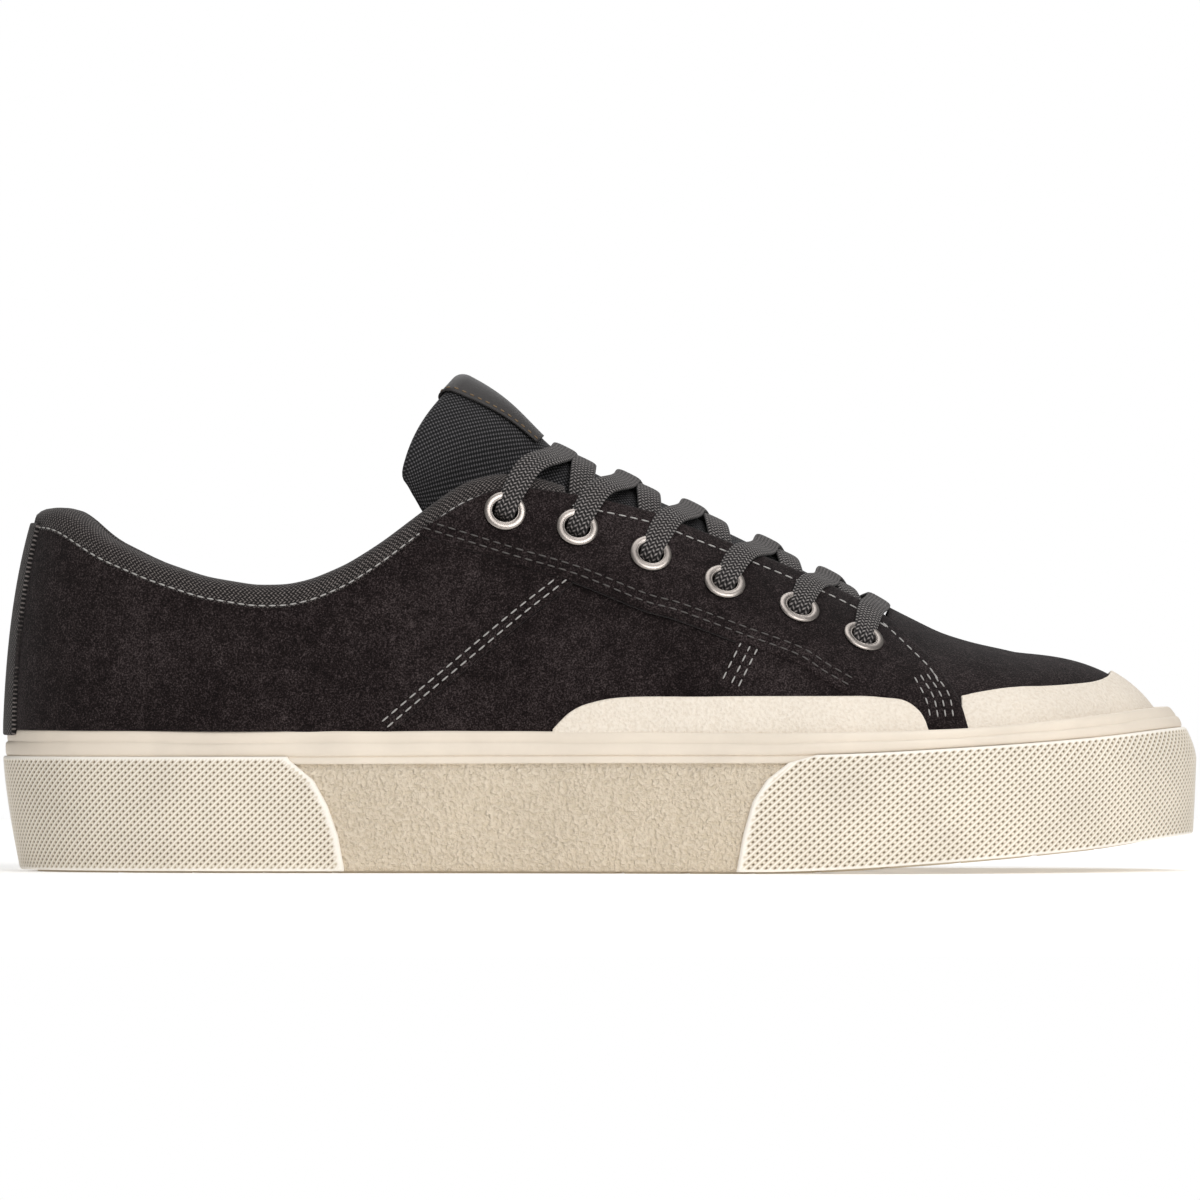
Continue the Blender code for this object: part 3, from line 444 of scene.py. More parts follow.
def ruledPanel(name, lower, upper, side, columns, rows, out, thick, material, slotName, puff=0.0):
    """A panel between two matched curves seen from the side."""
    low = smoothLine(lower, columns)
    high = smoothLine(upper, columns)
    lowStation, lowAngle = placeOn(low[:, 0], low[:, 1], side)
    highStation, highAngle = placeOn(high[:, 0], high[:, 1], side)
    share = np.linspace(0, 1, rows)[:, None]
    stations = lowStation * (1 - share) + highStation * share
    angles = lowAngle * (1 - share) + highAngle * share
    return panelFrom(name, stations, angles, out, thick, material, slotName, puff)


# ---- stitches: one small rounded length of thread, copied along the seams ----
threadSizes = {"length": 2.0, "space": 0.9, "width": 0.42}
stitchFrames = {"light": [], "dark": [], "brown": []}


def stitchAlong(points, normals, lift=0.1, length=None, kind="light"):
    """Notes a stitch at even steps along a curve."""
    step = (length or threadSizes["length"]) + threadSizes["space"]
    run = np.r_[0, np.cumsum(np.linalg.norm(np.diff(points, axis=0), axis=1))]
    count = max(int(run[-1] / step), 1)
    for i in range(count):
        spots = [run[-1] * (i + 0.5) / count + d for d in (-0.5, 0, 0.5)]
        low, here, high = (np.array([np.interp(s, run, points[:, k]) for k in range(3)]) for s in spots)
        normal = np.array([np.interp(spots[1], run, normals[:, k]) for k in range(3)])
        stitchFrames[kind].append((here + normal * lift, high - low, normal, length or threadSizes["length"]))


def stitchRow(line, side, out, shift=0.0, length=None, kind="light"):
    """A row of stitches along key points seen from the side, shifted across its own run."""
    flat = smoothLine(line, 40)
    along = np.gradient(flat, axis=0)
    along /= np.linalg.norm(along, axis=1)[:, None]
    flat = flat + np.c_[-along[:, 1], along[:, 0]] * shift
    station, angle = placeOn(flat[:, 0], flat[:, 1], side)
    stitchAlong(*surface(station, angle, out), length=length, kind=kind)


def sewAll(kind, material):
    """Builds every noted stitch of a kind as one mesh."""
    turns = np.arange(6) * math.pi / 3
    template = []
    for along, wide in ((-0.5, 0.25), (-0.42, 0.75), (-0.2, 1.0), (0.2, 1.0), (0.42, 0.75), (0.5, 0.25)):
        template += [(along, math.cos(t) * wide * 0.5, math.sin(t) * wide * 0.5) for t in turns]
    template = np.array(template)
    shape = gridFaces(6, 6, False, True) + [list(range(6))[::-1], list(range(30, 36))]
    vertices = []
    faces = []
    for place, along, normal, length in stitchFrames[kind]:
        along = along / np.linalg.norm(along)
        across = np.cross(normal, along)
        across /= np.linalg.norm(across)
        up = np.cross(along, across)
        first = len(vertices) * 36
        wide = threadSizes["width"]
        vertices.append(place + template @ np.array([along * length, across * wide, up * wide]))
        faces += [[first + k for k in face] for face in shape]
    return meshPiece(f"stitching_{kind}", np.vstack(vertices), faces, material, "lace")


print("forms ready")

# ---- materials ----
suedeLook = {"dark": "#080505", "middle": "#191212", "nap": "#4E4545", "speckleMm": 0.4, "blotchMm": 26.0}


def suedeMaterial():
    # Black cow suede: split hide with its nap raised by sanding, matt and dusty, darker where it was stroked.
    material, shader, place = newMaterial("black split suede, sanded", {
        "Roughness": 0.95, "Sheen Weight": 0.08, "Sheen Roughness": 0.4, "Specular IOR Level": 0.12,
    })
    fine = noiseOf(material, place, suedeLook["speckleMm"], 4.0, 0.7)
    middle = noiseOf(material, place, 3.0, 3.0)
    blotch = noiseOf(material, place, suedeLook["blotchMm"], 3.0)
    first = addNode(material, "Math", {"operation": "MULTIPLY_ADD", 1: 0.18}, {0: middle, 2: fine})
    second = addNode(material, "Math", {"operation": "MULTIPLY_ADD", 1: 0.2}, {0: blotch, 2: first.outputs[0]})
    shrunk = addNode(material, "Math", {"operation": "MULTIPLY", 1: 1 / 1.38}, {0: second.outputs[0]})
    colour = ramp(material, shrunk.outputs[0], [(0.38, suedeLook["dark"]), (0.5, suedeLook["middle"]), (0.66, suedeLook["nap"])])
    material.node_tree.links.new(colour, shader.inputs["Base Color"])
    addBump(material, shader, [(middle, 0.12), (fine, 0.16)])
    return material


rubberLook = {
    # Panel and hide colours run from the grain's low parts, a painted shade, to its paler high parts.
    "panel": ("#D2C3AB", "#DACBB5", "#DFD1BC"), "hide": ("#E0D4C4", "#E7DCCD", "#EBE1D3"), "tape": "#E6DACA",
    # Knurl colours by pit depth: the pale ridge, then the slope and pit colours as painted shade.
    "ridge": "#FAF4EA", "slope": "#D6C8B2", "pit": "#4E402C",
}


def pebbledMaterial(name, colours, grainMm, depth, roughness):
    # Sheet rubber or synthetic hide with a fine wrinkled grain pressed in by the mould: nearly even in colour, its
    # creases catch the light through the bump, and a painted shade makes the low parts of the grain a little darker.
    material, shader, place = newMaterial(name, {"Roughness": roughness, "Specular IOR Level": 0.35})
    wrinkled = noiseOf(material, place, grainMm, 2.0, 0.5)
    grain = ramp(material, wrinkled, [(0.32, 0.0), (0.66, 1.0)])
    fine = noiseOf(material, place, grainMm * 0.35, 3.0)
    # Painted shade: the grain's low parts take the darker colour, its high parts the paler.
    colour = ramp(material, grain, [(0.0, colours[0]), (0.5, colours[1]), (1.0, colours[2])])
    soil = noiseOf(material, place, 22.0, 4.0)
    dusty = ramp(material, soil, [(0.3, 0.94), (0.62, 1.0)])
    mixed = addNode(material, "Mix", {"data_type": "RGBA", "blend_type": "MULTIPLY", 0: 1.0}, {6: colour, 7: dusty})
    material.node_tree.links.new(mixed.outputs[2], shader.inputs["Base Color"])
    addBump(material, shader, [(grain, depth), (fine, depth * 0.25)])
    return material


def knurledRubber():
    # Rubber moulded with a diamond knurl, coloured by the depth of its pits: pale ridges, and painted shade down the
    # slopes and darkest deep in the pits.
    material, shader, place = newMaterial("cream rubber, knurled in the mould", {"Roughness": 0.55, "Specular IOR Level": 0.4})
    pit = addNode(material, "Attribute", {"attribute_name": "pit"}).outputs["Fac"]
    colour = ramp(material, pit, [(0.0, rubberLook["ridge"]), (0.35, rubberLook["slope"]), (0.85, rubberLook["pit"])])
    soil = noiseOf(material, place, 20.0, 4.0)
    dusty = ramp(material, soil, [(0.3, 0.9), (0.6, 1.0)])
    mixed = addNode(material, "Mix", {"data_type": "RGBA", "blend_type": "MULTIPLY", 0: 1.0}, {6: colour, 7: dusty})
    material.node_tree.links.new(mixed.outputs[2], shader.inputs["Base Color"])
    addBump(material, shader, [(noiseOf(material, place, 0.6, 3.0), 0.04)])
    return material


def smoothRubber(name, colour, roughness=0.5, fineMm=1.2, depth=0.05):
    # Calendered rubber strip: plain, slightly waxy, with faint pores.
    material, shader, place = newMaterial(name, {"Roughness": roughness, "Specular IOR Level": 0.4})
    soil = noiseOf(material, place, 18.0, 5.0)
    pores = noiseOf(material, place, fineMm, 4.0)
    dusty = ramp(material, soil, [(0.3, 0.9), (0.6, 1.0)])
    mixed = addNode(material, "Mix", {"data_type": "RGBA", "blend_type": "MULTIPLY", 0: 1.0, 6: hexColour(colour)}, {7: dusty})
    material.node_tree.links.new(mixed.outputs[2], shader.inputs["Base Color"])
    addBump(material, shader, [(soil, 0.15), (pores, depth)])
    return material


weaves = {
    # Each weave's colours run from painted shade in the gaps to the pale, painted-lit crowns.
    "webbing": {"thread": 0.62, "pick": 0.55, "slant": 0.9, "colours": ("#131111", "#332E2D", "#77706D"), "lint": 1.1, "depth": 0.1},
    "canvas": {"thread": 0.62, "pick": 0.6, "slant": 0.0, "colours": ("#0D0D0E", "#29282A", "#5C5A5B"), "lint": 0.5, "depth": 0.16},
    "braid": {"thread": 0.85, "pick": 0.6, "slant": 0.7, "colours": ("#151414", "#423F3E", "#928C8A"), "lint": 0.6, "depth": 0.16},
}


def wovenMaterial(name, look):
    # Yarn over and under yarn, laid along the piece: the colour follows the weave's height, so its crowns are pale,
    # partly from lint and partly a painted highlight, and the gaps between are painted shade, near black.
    material, shader, place = newMaterial(name, {
        "Roughness": 0.9, "Sheen Weight": 0.08, "Sheen Roughness": 0.5, "Specular IOR Level": 0.2,
    })
    laid = addNode(material, "Attribute", {"attribute_name": "cloth"}).outputs["Vector"]
    parts = addNode(material, "SeparateXYZ", links={0: laid})
    fold = addNode(material, "Math", {"operation": "PINGPONG", 1: look["thread"]}, {0: parts.outputs[0]}).outputs[0]
    along = addNode(material, "Math", {"operation": "MULTIPLY_ADD", 1: look["slant"]}, {0: fold, 2: parts.outputs[1]}).outputs[0]
    waves = []
    for run, stepMm in ((parts.outputs[0], look["thread"]), (along, look["pick"])):
        turned = addNode(material, "Math", {"operation": "MULTIPLY", 1: math.pi / stepMm}, {0: run}).outputs[0]
        waves.append(addNode(material, "Math", {"operation": "SINE"}, {0: turned}).outputs[0])
    crossed = addNode(material, "Math", {"operation": "MULTIPLY"}, {0: waves[0], 1: waves[1]}).outputs[0]
    yarn = addNode(material, "Math", {"operation": "MULTIPLY_ADD", 1: 0.5, 2: 0.5}, {0: crossed}).outputs[0]
    lint = noiseOf(material, place, 0.5, 3.0, 0.7)
    stray = addNode(material, "Math", {"operation": "SUBTRACT", 1: 0.5}, {0: lint}).outputs[0]
    lintAndWeaveShade = addNode(material, "Math", {"operation": "MULTIPLY_ADD", 1: look["lint"]}, {0: stray, 2: yarn}).outputs[0]
    # Painted light and shade: the weave's crowns take the pale colour, the gaps between them the near black, with lint
    # mixed in.
    colour = ramp(material, lintAndWeaveShade, [(0.3, look["colours"][0]), (0.62, look["colours"][1]), (0.95, look["colours"][2])])
    material.node_tree.links.new(colour, shader.inputs["Base Color"])
    addBump(material, shader, [(yarn, look["depth"]), (lint, 0.05)])
    return material


def brushedMaterial(name, dark, light):
    # Knit lining with a brushed face: soft, dull, a little streaky.
    material, shader, place = newMaterial(name, {"Roughness": 0.95, "Sheen Weight": 0.1, "Specular IOR Level": 0.15})
    streaks = noiseOf(material, addNode(material, "Mapping", {"Scale": (1.0, 1.0, 0.3)}, {"Vector": place}).outputs[0], 1.1, 4.0, 0.7)
    colour = ramp(material, streaks, [(0.35, dark), (0.68, light)])
    material.node_tree.links.new(colour, shader.inputs["Base Color"])
    addBump(material, shader, [(streaks, 0.12)])
    return material


def nickelMaterial():
    # Rolled brass eyelet plated with pale nickel, faintly brushed by tumbling.
    material, shader, place = newMaterial("pale nickel plate on rolled brass", {"Metallic": 1.0, "Base Color": hexColour("#A8A09A")})
    scratches = noiseOf(material, place, 0.4, 3.0)
    rough = ramp(material, scratches, [(0.3, 0.3), (0.7, 0.42)])
    material.node_tree.links.new(rough, shader.inputs["Roughness"])
    addBump(material, shader, [(scratches, 0.02)])
    return material


def plainMaterial(name, colour, roughness, sheen=0.0):
    material, shader, place = newMaterial(name, {"Roughness": roughness, "Sheen Weight": sheen, "Base Color": hexColour(colour)})
    addBump(material, shader, [(noiseOf(material, place, 0.6, 3.0), 0.05)])
    return material


suede = suedeMaterial()
patchHide = pebbledMaterial("cream synthetic hide, embossed", rubberLook["hide"], 0.8, 0.14, 0.6)
panelRubber = pebbledMaterial("cream rubber panel, moulded grain", rubberLook["panel"], 1.0, 0.5, 0.6)
wrapRubber = knurledRubber()
tapeRubber = smoothRubber("cream rubber strip, calendered", rubberLook["tape"], 0.5)
soleRubber = smoothRubber("cream rubber outsole, pressed", "#DCCDB4", 0.6)
webbing = wovenMaterial("charcoal polyester webbing, woven", weaves["webbing"])
canvas = wovenMaterial("charcoal spacer canvas, open weave", weaves["canvas"])
braid = wovenMaterial("charcoal polyester lace, flat braid", weaves["braid"])
lining = brushedMaterial("black brushed lining knit", "#0B0B0C", "#232224")
nickel = nickelMaterial()
thread = plainMaterial("grey bonded nylon thread", "#A09D9A", 0.6)
darkThread = plainMaterial("dark bonded nylon thread", "#4C4846", 0.6)
brownThread = plainMaterial("brown waxed thread", "#6B563A", 0.5)
labelMaterial = plainMaterial("black satin tape, woven fine", "#24201F", 0.6, 0.1)
print("materials ready")

# ---- sole ----
soleSizes = {"wrapDepth": 1.5, "tapeStep": 0.4, "knurlDepth": 0.5, "bandLow": 26.9}
heelWrapEdge = [(-64.1, -1.0), (-64.0, 1.3), (-65.4, 9.3), (-68.0, 17.0), (-71.4, 23.4), (-77.5, 28.5), (-79.0, 31.0)]
toeWrapEdge = [(33.0, -1.0), (33.1, 0.4), (35.0, 10.0), (37.4, 18.0), (41.0, 23.4), (46.5, 27.6), (54.6, 29.7), (60.0, 31.0)]


def flatPoint(station, inset, height):
    """A point of the sole: the outline at a station drawn in by inset, at height."""
    station, inset, height = np.broadcast_arrays(station, inset, height)
    flat = alongRing(ring, station) + alongRing(ringInward, station) * inset[..., None]
    return np.concatenate([flat, height[..., None]], axis=-1)


def wallInset(x, share):
    top = np.maximum(share - 0.7, 0) ** 1.5 / 0.3**1.5
    return valueAt("footSlope", x) * np.maximum(1 - share, 0) ** 1.4 + valueAt("topSlope", x) * top


def wallPoint(station, share, deeper):
    x = alongRing(ring, station)[..., 0]
    low = valueAt("bottom", x) + 0.5
    return flatPoint(station, wallInset(x, share) + deeper, low + (valueAt("wallTop", x) - low) * share)


def drawnIn(steps, inset, shares, heightAt):
    """Loops from the outline drawn in by inset to the line down the middle, where both sides meet."""
    rim = flatPoint(steps, inset, 0.0)[:, :2]
    middle = alongRing(spine, steps)
    loops = []
    for share in shares:
        flat = rim * (1 - share) + middle * share
        loops.append(np.c_[flat, heightAt(flat[:, 0])])
    return loops


def makeMidsole():
    steps = np.arange(0, around, 2)[None, :]
    depth = soleSizes["wrapDepth"]
    shares = [0.0, 0.02, 0.05, 0.1, 0.2, 0.3, 0.4, 0.5, 0.6, 0.7, 0.8, 0.86, 0.895, 0.905, 0.915, 0.925, 0.935, 0.96, 0.98, 0.99, 1.0]
    deeper = [0.5, 0.15, 0.0, 0, 0, 0, 0, 0, 0, 0, 0, 0.0, 0.05, 0.45, 0.5, 0.4, -0.1, -0.15, -0.1, 0.1, 0.6]
    shareColumn, deepColumn = np.array(shares)[:, None], np.array(deeper)[:, None] + depth
    wall = wallPoint(steps, shareColumn + 0 * steps, deepColumn)
    x = alongRing(ring, steps[0])[:, 0]
    bedLevel = valueAt("bed", x)[None, :]
    rows = [wall, flatPoint(steps, 3.5, valueAt("wallTop", x)[None, :]), flatPoint(steps, 5.0, bedLevel + 0.6)]
    rows += drawnIn(steps[0], 5.0, (0.02, 0.5, 1.0), lambda at: valueAt("bed", at) + 0.1)
    under = drawnIn(steps[0], 8.0, (1.0, 0.5, 0.0), lambda at: valueAt("bottom", at) + 3.5)
    under += [flatPoint(steps, wallInset(x, 0.0) + depth + 1.8, valueAt("bottom", x)[None, :] + lift) for lift in (3.5, 0.6)]
    grid = np.vstack([loop.reshape(-1, 3) for loop in under + rows])
    columns = steps.shape[1]
    faces = gridFaces(len(grid) // columns, columns, False, True)
    item = meshPiece("midsole_panel", grid, faces, [panelRubber, tapeRubber], "cream_rubber")
    for face in item.data.polygons:
        if 16 + 5 <= face.index // columns:
            face.material_index = 1
    return finishPiece(item, "midsole")


def knurl(u, v, pitch, row):
    """Height from 0 in the pits to 1 on the crossing ridges."""
    first, second = u / pitch + v / (2 * row), u / pitch - v / (2 * row)
    ridges = [np.abs(2 * (c - np.floor(c)) - 1) for c in (first, second)]
    return 1 - ((1 - ridges[0]) * (1 - ridges[1])) ** 0.8


def makeWrap(name, edgeLine, toe, pitch, row):
    """A knurled wrap. Its grid follows the knurl, and is drawn together at the ends along the wrap's own edge."""
    edge = np.array(edgeLine)
    height = 31.4 if toe else 28.4
    rows = int(height / (row / 2)) + 1
    shares = np.linspace(0, 1, rows)[:, None]
    z = 0.5 + (29.4 - 0.5) * shares[:, 0]
    x = np.interp(z, edge[:, 1], edge[:, 0])
    outer, inner = placeAlong(x, -1), placeAlong(x, 1)
    low, high = (outer, inner) if toe else (inner - around, outer)
    low, high = runAt(low)[:, None], runAt(high)[:, None]
    grid = np.arange(math.floor(low.min() / (pitch / 4)), math.ceil(high.max() / (pitch / 4)) + 1) * (pitch / 4)
    run = np.clip(grid[None, :], low, high)
    stations = stationOfRun(run)
    v = shares * (rows - 1) * row / 2
    fromEnd = np.minimum(run - low, high - run)
    fromSide = np.minimum(shares * height, (1 - shares) * height) + 0 * run
    plain = np.clip(np.minimum((fromEnd - 1.2) / 1.0, (fromSide - 0.5) / 0.5), 0, 1)
    rounded = 0.9 * (1 - np.sqrt(1 - (1 - np.clip(fromEnd / 1.1, 0, 1)) ** 2))
    rounded += 0.35 * (1 - np.sqrt(1 - (1 - np.clip(fromSide / 0.7, 0, 1)) ** 2))
    pits = (1 - knurl(run, v, pitch, row)) * plain
    inset = soleSizes["knurlDepth"] * pits + rounded
    shareGrid = shares + 0 * stations
    face = wallPoint(stations, shareGrid, inset)
    ends = wallPoint(stations[:, [0, -1]], shareGrid[:, [0, -1]], 1.7)
    points = np.concatenate([ends[:, :1], face, ends[:, 1:]], axis=1)
    total = points.shape[1]
    rim = np.concatenate([ends[[0, -1], :1], wallPoint(stations, shareGrid, 1.7)[[0, -1]], ends[[0, -1], 1:]], axis=1)
    faces = gridFaces(rows, total)
    start = rows * total
    below, above = np.arange(total), np.arange(total) + (rows - 1) * total
    faces += [(start + k, start + k + 1, below[k + 1], below[k]) for k in range(total - 1)]
    faces += [(above[k], above[k + 1], start + total + k + 1, start + total + k) for k in range(total - 1)]
    # The back, and one face at each end, shut the strip so that it is a solid.
    faces += [(start + k + 1, start + k, start + total + k, start + total + k + 1) for k in range(total - 1)]
    faces.append([start, *below[0] + np.arange(rows) * total, start + total])
    faces.append([start + total - 1, start + 2 * total - 1, *below[-1] + np.arange(rows)[::-1] * total])
    vertices = np.vstack([points.reshape(-1, 3), rim.reshape(-1, 3)])
    # Pit depth per point, read by the material to paint shade into the pits.
    pitValues = np.r_[np.pad(pits, ((0, 0), (1, 1))).ravel(), np.zeros(len(vertices) - start)]
    item = meshPiece(name + "_knurled", vertices, faces, wrapRubber, "cream_rubber", values={"pit": pitValues})
    return finishPiece(item, name)


def placeAlong(x, side):
    """The station where the sole's outline passes x."""
    line = ring[: half + 1] if side < 0 else np.vstack([ring[half:], ring[:1]])[::-1]
    step = np.interp(x, line[:, 0], np.arange(half + 1))
    return step if side < 0 else around - step


def runAt(station):
    """Length along the outline up to a station, below 0 behind the heel's tip on the inner side."""
    turns = np.floor(station / around)
    return np.interp(station - turns * around, whole, ringRun) + turns * ringRun[-1]


def stationOfRun(run):
    turns = np.floor(run / ringRun[-1])
    return np.interp(run - turns * ringRun[-1], ringRun, whole) + turns * around


def makeTape():
    steps = np.arange(0, around, 2)[None, :]
    x = alongRing(ring, steps[0])[:, 0]
    inset = valueAt("tape", x)
    low = valueAt("wallTop", x) + 0.1
    top = valueAt("tapeTop", x)
    run = runAt(steps[0].astype(float))
    wave = 0.16 * np.sin(run / 17.0) + 0.12 * np.sin(run / 7.3 + 1.0) + 0.08 * np.sin(run / 3.9)
    bowed = 0.12 * np.sin(run / 11.0 + 2.0) + 0.08 * np.sin(run / 5.1)
    tall = top - low
    profile = [
        (6.5, -0.1), (0.9, -0.1), (0.25, 0.0), (0.0, 0.06), (-0.1, 0.2), (-0.12, 0.36), (-0.02, 0.46), (0.25, 0.5),
        (0.5, 0.52), (0.42, 0.56), (0.32, 0.66), (0.32, 0.82), (0.42, 0.92), (0.75, 0.985), (1.2, 1.0), (2.4, 0.98), (5.2, 0.9), (6.5, 0.5),
    ]
    loops = []
    for drawn, share in profile:
        middle = math.exp(-(((share - 0.5) / 0.22) ** 2))
        height = low + tall * share + wave * (0.5 * middle + 0.35 * share)
        lean = 3.0 * softStep(x, 122, 148) * max(share, 0.0) ** 1.5 * (1 - drawn / 6.5)
        loops.append(flatPoint(steps, inset + drawn + lean + bowed * 0.5, height).reshape(-1, 3))
    columns = steps.shape[1]
    faces = gridFaces(len(loops), columns, True, True)
    return finishPiece(meshPiece("tape_strips", np.vstack(loops), faces, tapeRubber, "cream_rubber"), "foxing_tape")


def makeInsole():
    steps = np.arange(0, around, 4)[None, :]
    x = alongRing(ring, steps[0])[:, 0]
    inset = valueAt("feather", x) + 2.6
    low = valueAt("bed", x) + 0.3
    loops = drawnIn(steps[0], inset, (1.0, 0.5), lambda at: valueAt("bed", at) + 0.3)
    loops += [flatPoint(steps, inset + a, low + b)[0] for a, b in ((0, 0), (0, 3.2), (0.6, 4.0), (3.0, 3.9))]
    loops += drawnIn(steps[0], inset + 3.0, (0.15, 0.35, 0.65, 1.0), lambda at: valueAt("bed", at) + 3.5)
    columns = steps.shape[1]
    faces = gridFaces(len(loops), columns, False, True)
    return finishPiece(meshPiece("footbed", np.vstack(loops), faces, lining, "footbed"), "insole")


makeMidsole()
makeWrap("heel_wrap", heelWrapEdge, False, 1.9, 0.87)
makeWrap("toe_wrap", toeWrapEdge, True, 2.2, 1.0)
makeTape()
makeInsole()
nodes["outsole"].data.materials.clear()
nodes["outsole"].data.materials.append(soleRubber)
print("sole ready")

# ---- upper ----
upperSizes = {"wall": 2.0, "panel": 0.9, "stay": 1.7, "eyeletHole": 7.0, "eyeletWidth": 10.4}
eyeletRows = [(64.9, 57.4), (48.9, 64.8), (30.5, 71.3), (12.2, 78.5), (-6.1, 85.2), (-24.0, 89.4)]
throatStep = 2 * round((fan + (72.4 - heelCentre) / (toeCentre - heelCentre) * (half - 2 * fan)) / 2)
sideNames = {-1: "outer", 1: "inner"}


def eyeletPlace(row, side):
    station, angle = placeOn(*eyeletRows[row], side)
    place, normal = surface(station, angle)
    return place, normal


def holeCutter(radius, reach):
    pieces = []
    for side in (-1, 1):
        for row in range(len(eyeletRows)):
            place, normal = eyeletPlace(row, side)
            bpy.ops.mesh.primitive_cylinder_add(vertices=28, radius=radius * 0.001, depth=reach * 0.001)
            item = bpy.context.active_object
            turnOnto(item, place, normal)
            pieces.append(item)
    return joined(pieces, "hole cutter")


def turnOnto(item, place, normal, twist=0.0):
    """Moves a piece modelled at the origin onto a place, its Z along normal, and bakes that into its mesh."""
    from mathutils import Matrix, Vector

    turn = Vector((0, 0, 1)).rotation_difference(Vector(normal)).to_matrix().to_4x4()
    item.data.transform(Matrix.Translation(Vector(place) * 0.001) @ turn @ Matrix.Rotation(twist, 4, "Z"))
    item.matrix_world = Matrix.Identity(4)


def joined(pieces, name):
    bpy.ops.object.select_all(action="DESELECT")
    for item in pieces:
        item.select_set(True)
    bpy.context.view_layer.objects.active = pieces[0]
    bpy.ops.object.join()
    pieces[0].name = name
    return pieces[0]


def makeUpper(cutter):
    steps = np.arange(0, around, 2)
    columns = len(steps)
    folded = np.minimum(steps, around - steps)
    top = edgeAngle(steps.astype(float))
    front = folded > throatStep
    atEnd = float(np.interp(throatStep, folded[: columns // 2], top[: columns // 2]))
    top = np.where(front, atEnd, top)
    rows = 50
    share = np.linspace(0, 1, rows)[:, None] ** 0.9
    angles = top[None, :] * share
    grid = surface(np.broadcast_to(steps, angles.shape), angles)[0]
    vertices = [grid.reshape(-1, 3)]
    faces = gridFaces(rows, columns, False, True)
    cap = steps[folded >= throatStep]
    capRows = 34
    capAngles = atEnd + (math.pi / 2 - atEnd) * np.linspace(0, 1, capRows)[:, None] + 0 * cap[None, :]
    capGrid = surface(np.broadcast_to(cap, capAngles.shape), capAngles)[0]
    vertices.append(capGrid.reshape(-1, 3))
    faces += gridFaces(capRows, len(cap), first=rows * columns)
    item = meshPiece("upper_suede", np.vstack(vertices), faces, suede, "black_suede")
    bpy.ops.object.select_all(action="DESELECT")
    shape = bmesh.new()
    shape.from_mesh(item.data)
    shape.normal_update()
    crown = max(shape.faces, key=lambda face: face.calc_center_median().x)
    if crown.normal.x < 0:
        bmesh.ops.reverse_faces(shape, faces=shape.faces)
    shape.to_mesh(item.data)
    shape.free()
    wall = item.modifiers.new("wall", "SOLIDIFY")
    wall.thickness = upperSizes["wall"] * 0.001
    wall.offset = -1
    applyModifiers(item)
    cutWith(item, cutter)
    return finishPiece(item, "upper")


seamLine = [(-7.0, 72.4), (-17.0, 64.6), (-28.0, 55.6), (-40.0, 45.7), (-52.6, 35.0)]
shortSeam = [(34.2, 57.6), (31.4, 51.5), (28.6, 46.0), (27.0, 42.6)]
stayLower = [
    (-45.0, 84.4), (-26.0, 78.6), (-7.4, 73.0), (9.9, 66.0), (18.9, 63.4), (34.5, 57.5), (48.0, 52.4), (54.7, 48.2),
    (61.0, 44.6), (69.0, 43.5), (75.0, 42.7), (78.6, 40.6), (80.6, 38.0), (81.9, 34.6),
]
stayUpper = [
    (-43.0, 86.2), (-26.0, 94.3), (-7.6, 93.2), (11.9, 88.7), (22.0, 84.8), (38.0, 78.4), (54.0, 71.6), (64.0, 66.6),
    (71.3, 62.0), (77.8, 56.1), (83.2, 51.0), (85.8, 47.0), (88.5, 42.2), (90.6, 34.8),
]
patchLower = [(-12.0, 33.8), (-9.0, 33.8), (-4.0, 33.8), (6.0, 33.8), (25.0, 33.6), (45.0, 33.6), (60.0, 34.0), (70.0, 34.2), (75.0, 34.3), (79.0, 34.4), (81.9, 34.5)]
patchUpper = [(-11.4, 36.0), (-7.4, 39.7), (-2.5, 41.8), (6.4, 43.2), (25.0, 43.4), (45.0, 43.3), (60.0, 43.2), (70.0, 43.2), (75.6, 42.2), (79.3, 39.2), (81.4, 36.2)]


def makeRearQuarter(side):
    """The rear quarter from the back seam to the quarter seam, laid over the middle of the shoe."""
    columns = 190
    seamStation, seamAngle = placeOn(seamLine[-1][0], seamLine[-1][1], side)
    start = 0.0 if side < 0 else float(around)
    topStation, topAngle = placeOn(seamLine[0][0], seamLine[0][1], side)
    share = np.linspace(0, 1, columns)
    lowStation = start + (seamStation - start) * share
    lowX = alongRing(ring, lowStation)[:, 0]
    tapeLevel = valueAt("tapeTop", lowX) + 0.2 - 1.2 * softStep(lowX, -80, -62)
    lowAngle = angleAt(lowStation, tapeLevel)
    highStation = start + (topStation - start) * share
    edge = edgeAngle(highStation)
    place = ribPoint(highStation, edge)
    stay = np.interp(place[:, 0], [row[0] for row in stayLower], [row[1] for row in stayLower])
    level = np.where(place[:, 0] < -44, place[:, 2] - 3.4, np.minimum(place[:, 2] - 3.4, stay + 1.2))
    mixed = np.convolve(np.pad(level, 4, "edge"), np.ones(9) / 9, "valid")
    highAngle = angleAt(highStation, mixed)
    seam = smoothLine(seamLine[::-1], 46)
    rows = 46
    rise = np.linspace(0, 1, rows)[:, None]
    stations = lowStation * (1 - rise) + highStation * rise
    angles = lowAngle * (1 - rise) + highAngle * rise
    finalStation, finalAngle = placeOn(seam[:, 0], seam[:, 1], side)
    pull = np.clip((share - 0.75) / 0.25, 0, 1)[None, :] ** 2
    stations = stations + (finalStation - stations[:, -1])[:, None] * pull
    angles = angles + (finalAngle - angles[:, -1])[:, None] * pull
    name = f"rear_quarter_{sideNames[side]}"
    return finishPiece(panelFrom(name, stations, angles, 0.05, upperSizes["panel"], suede, "black_suede"))


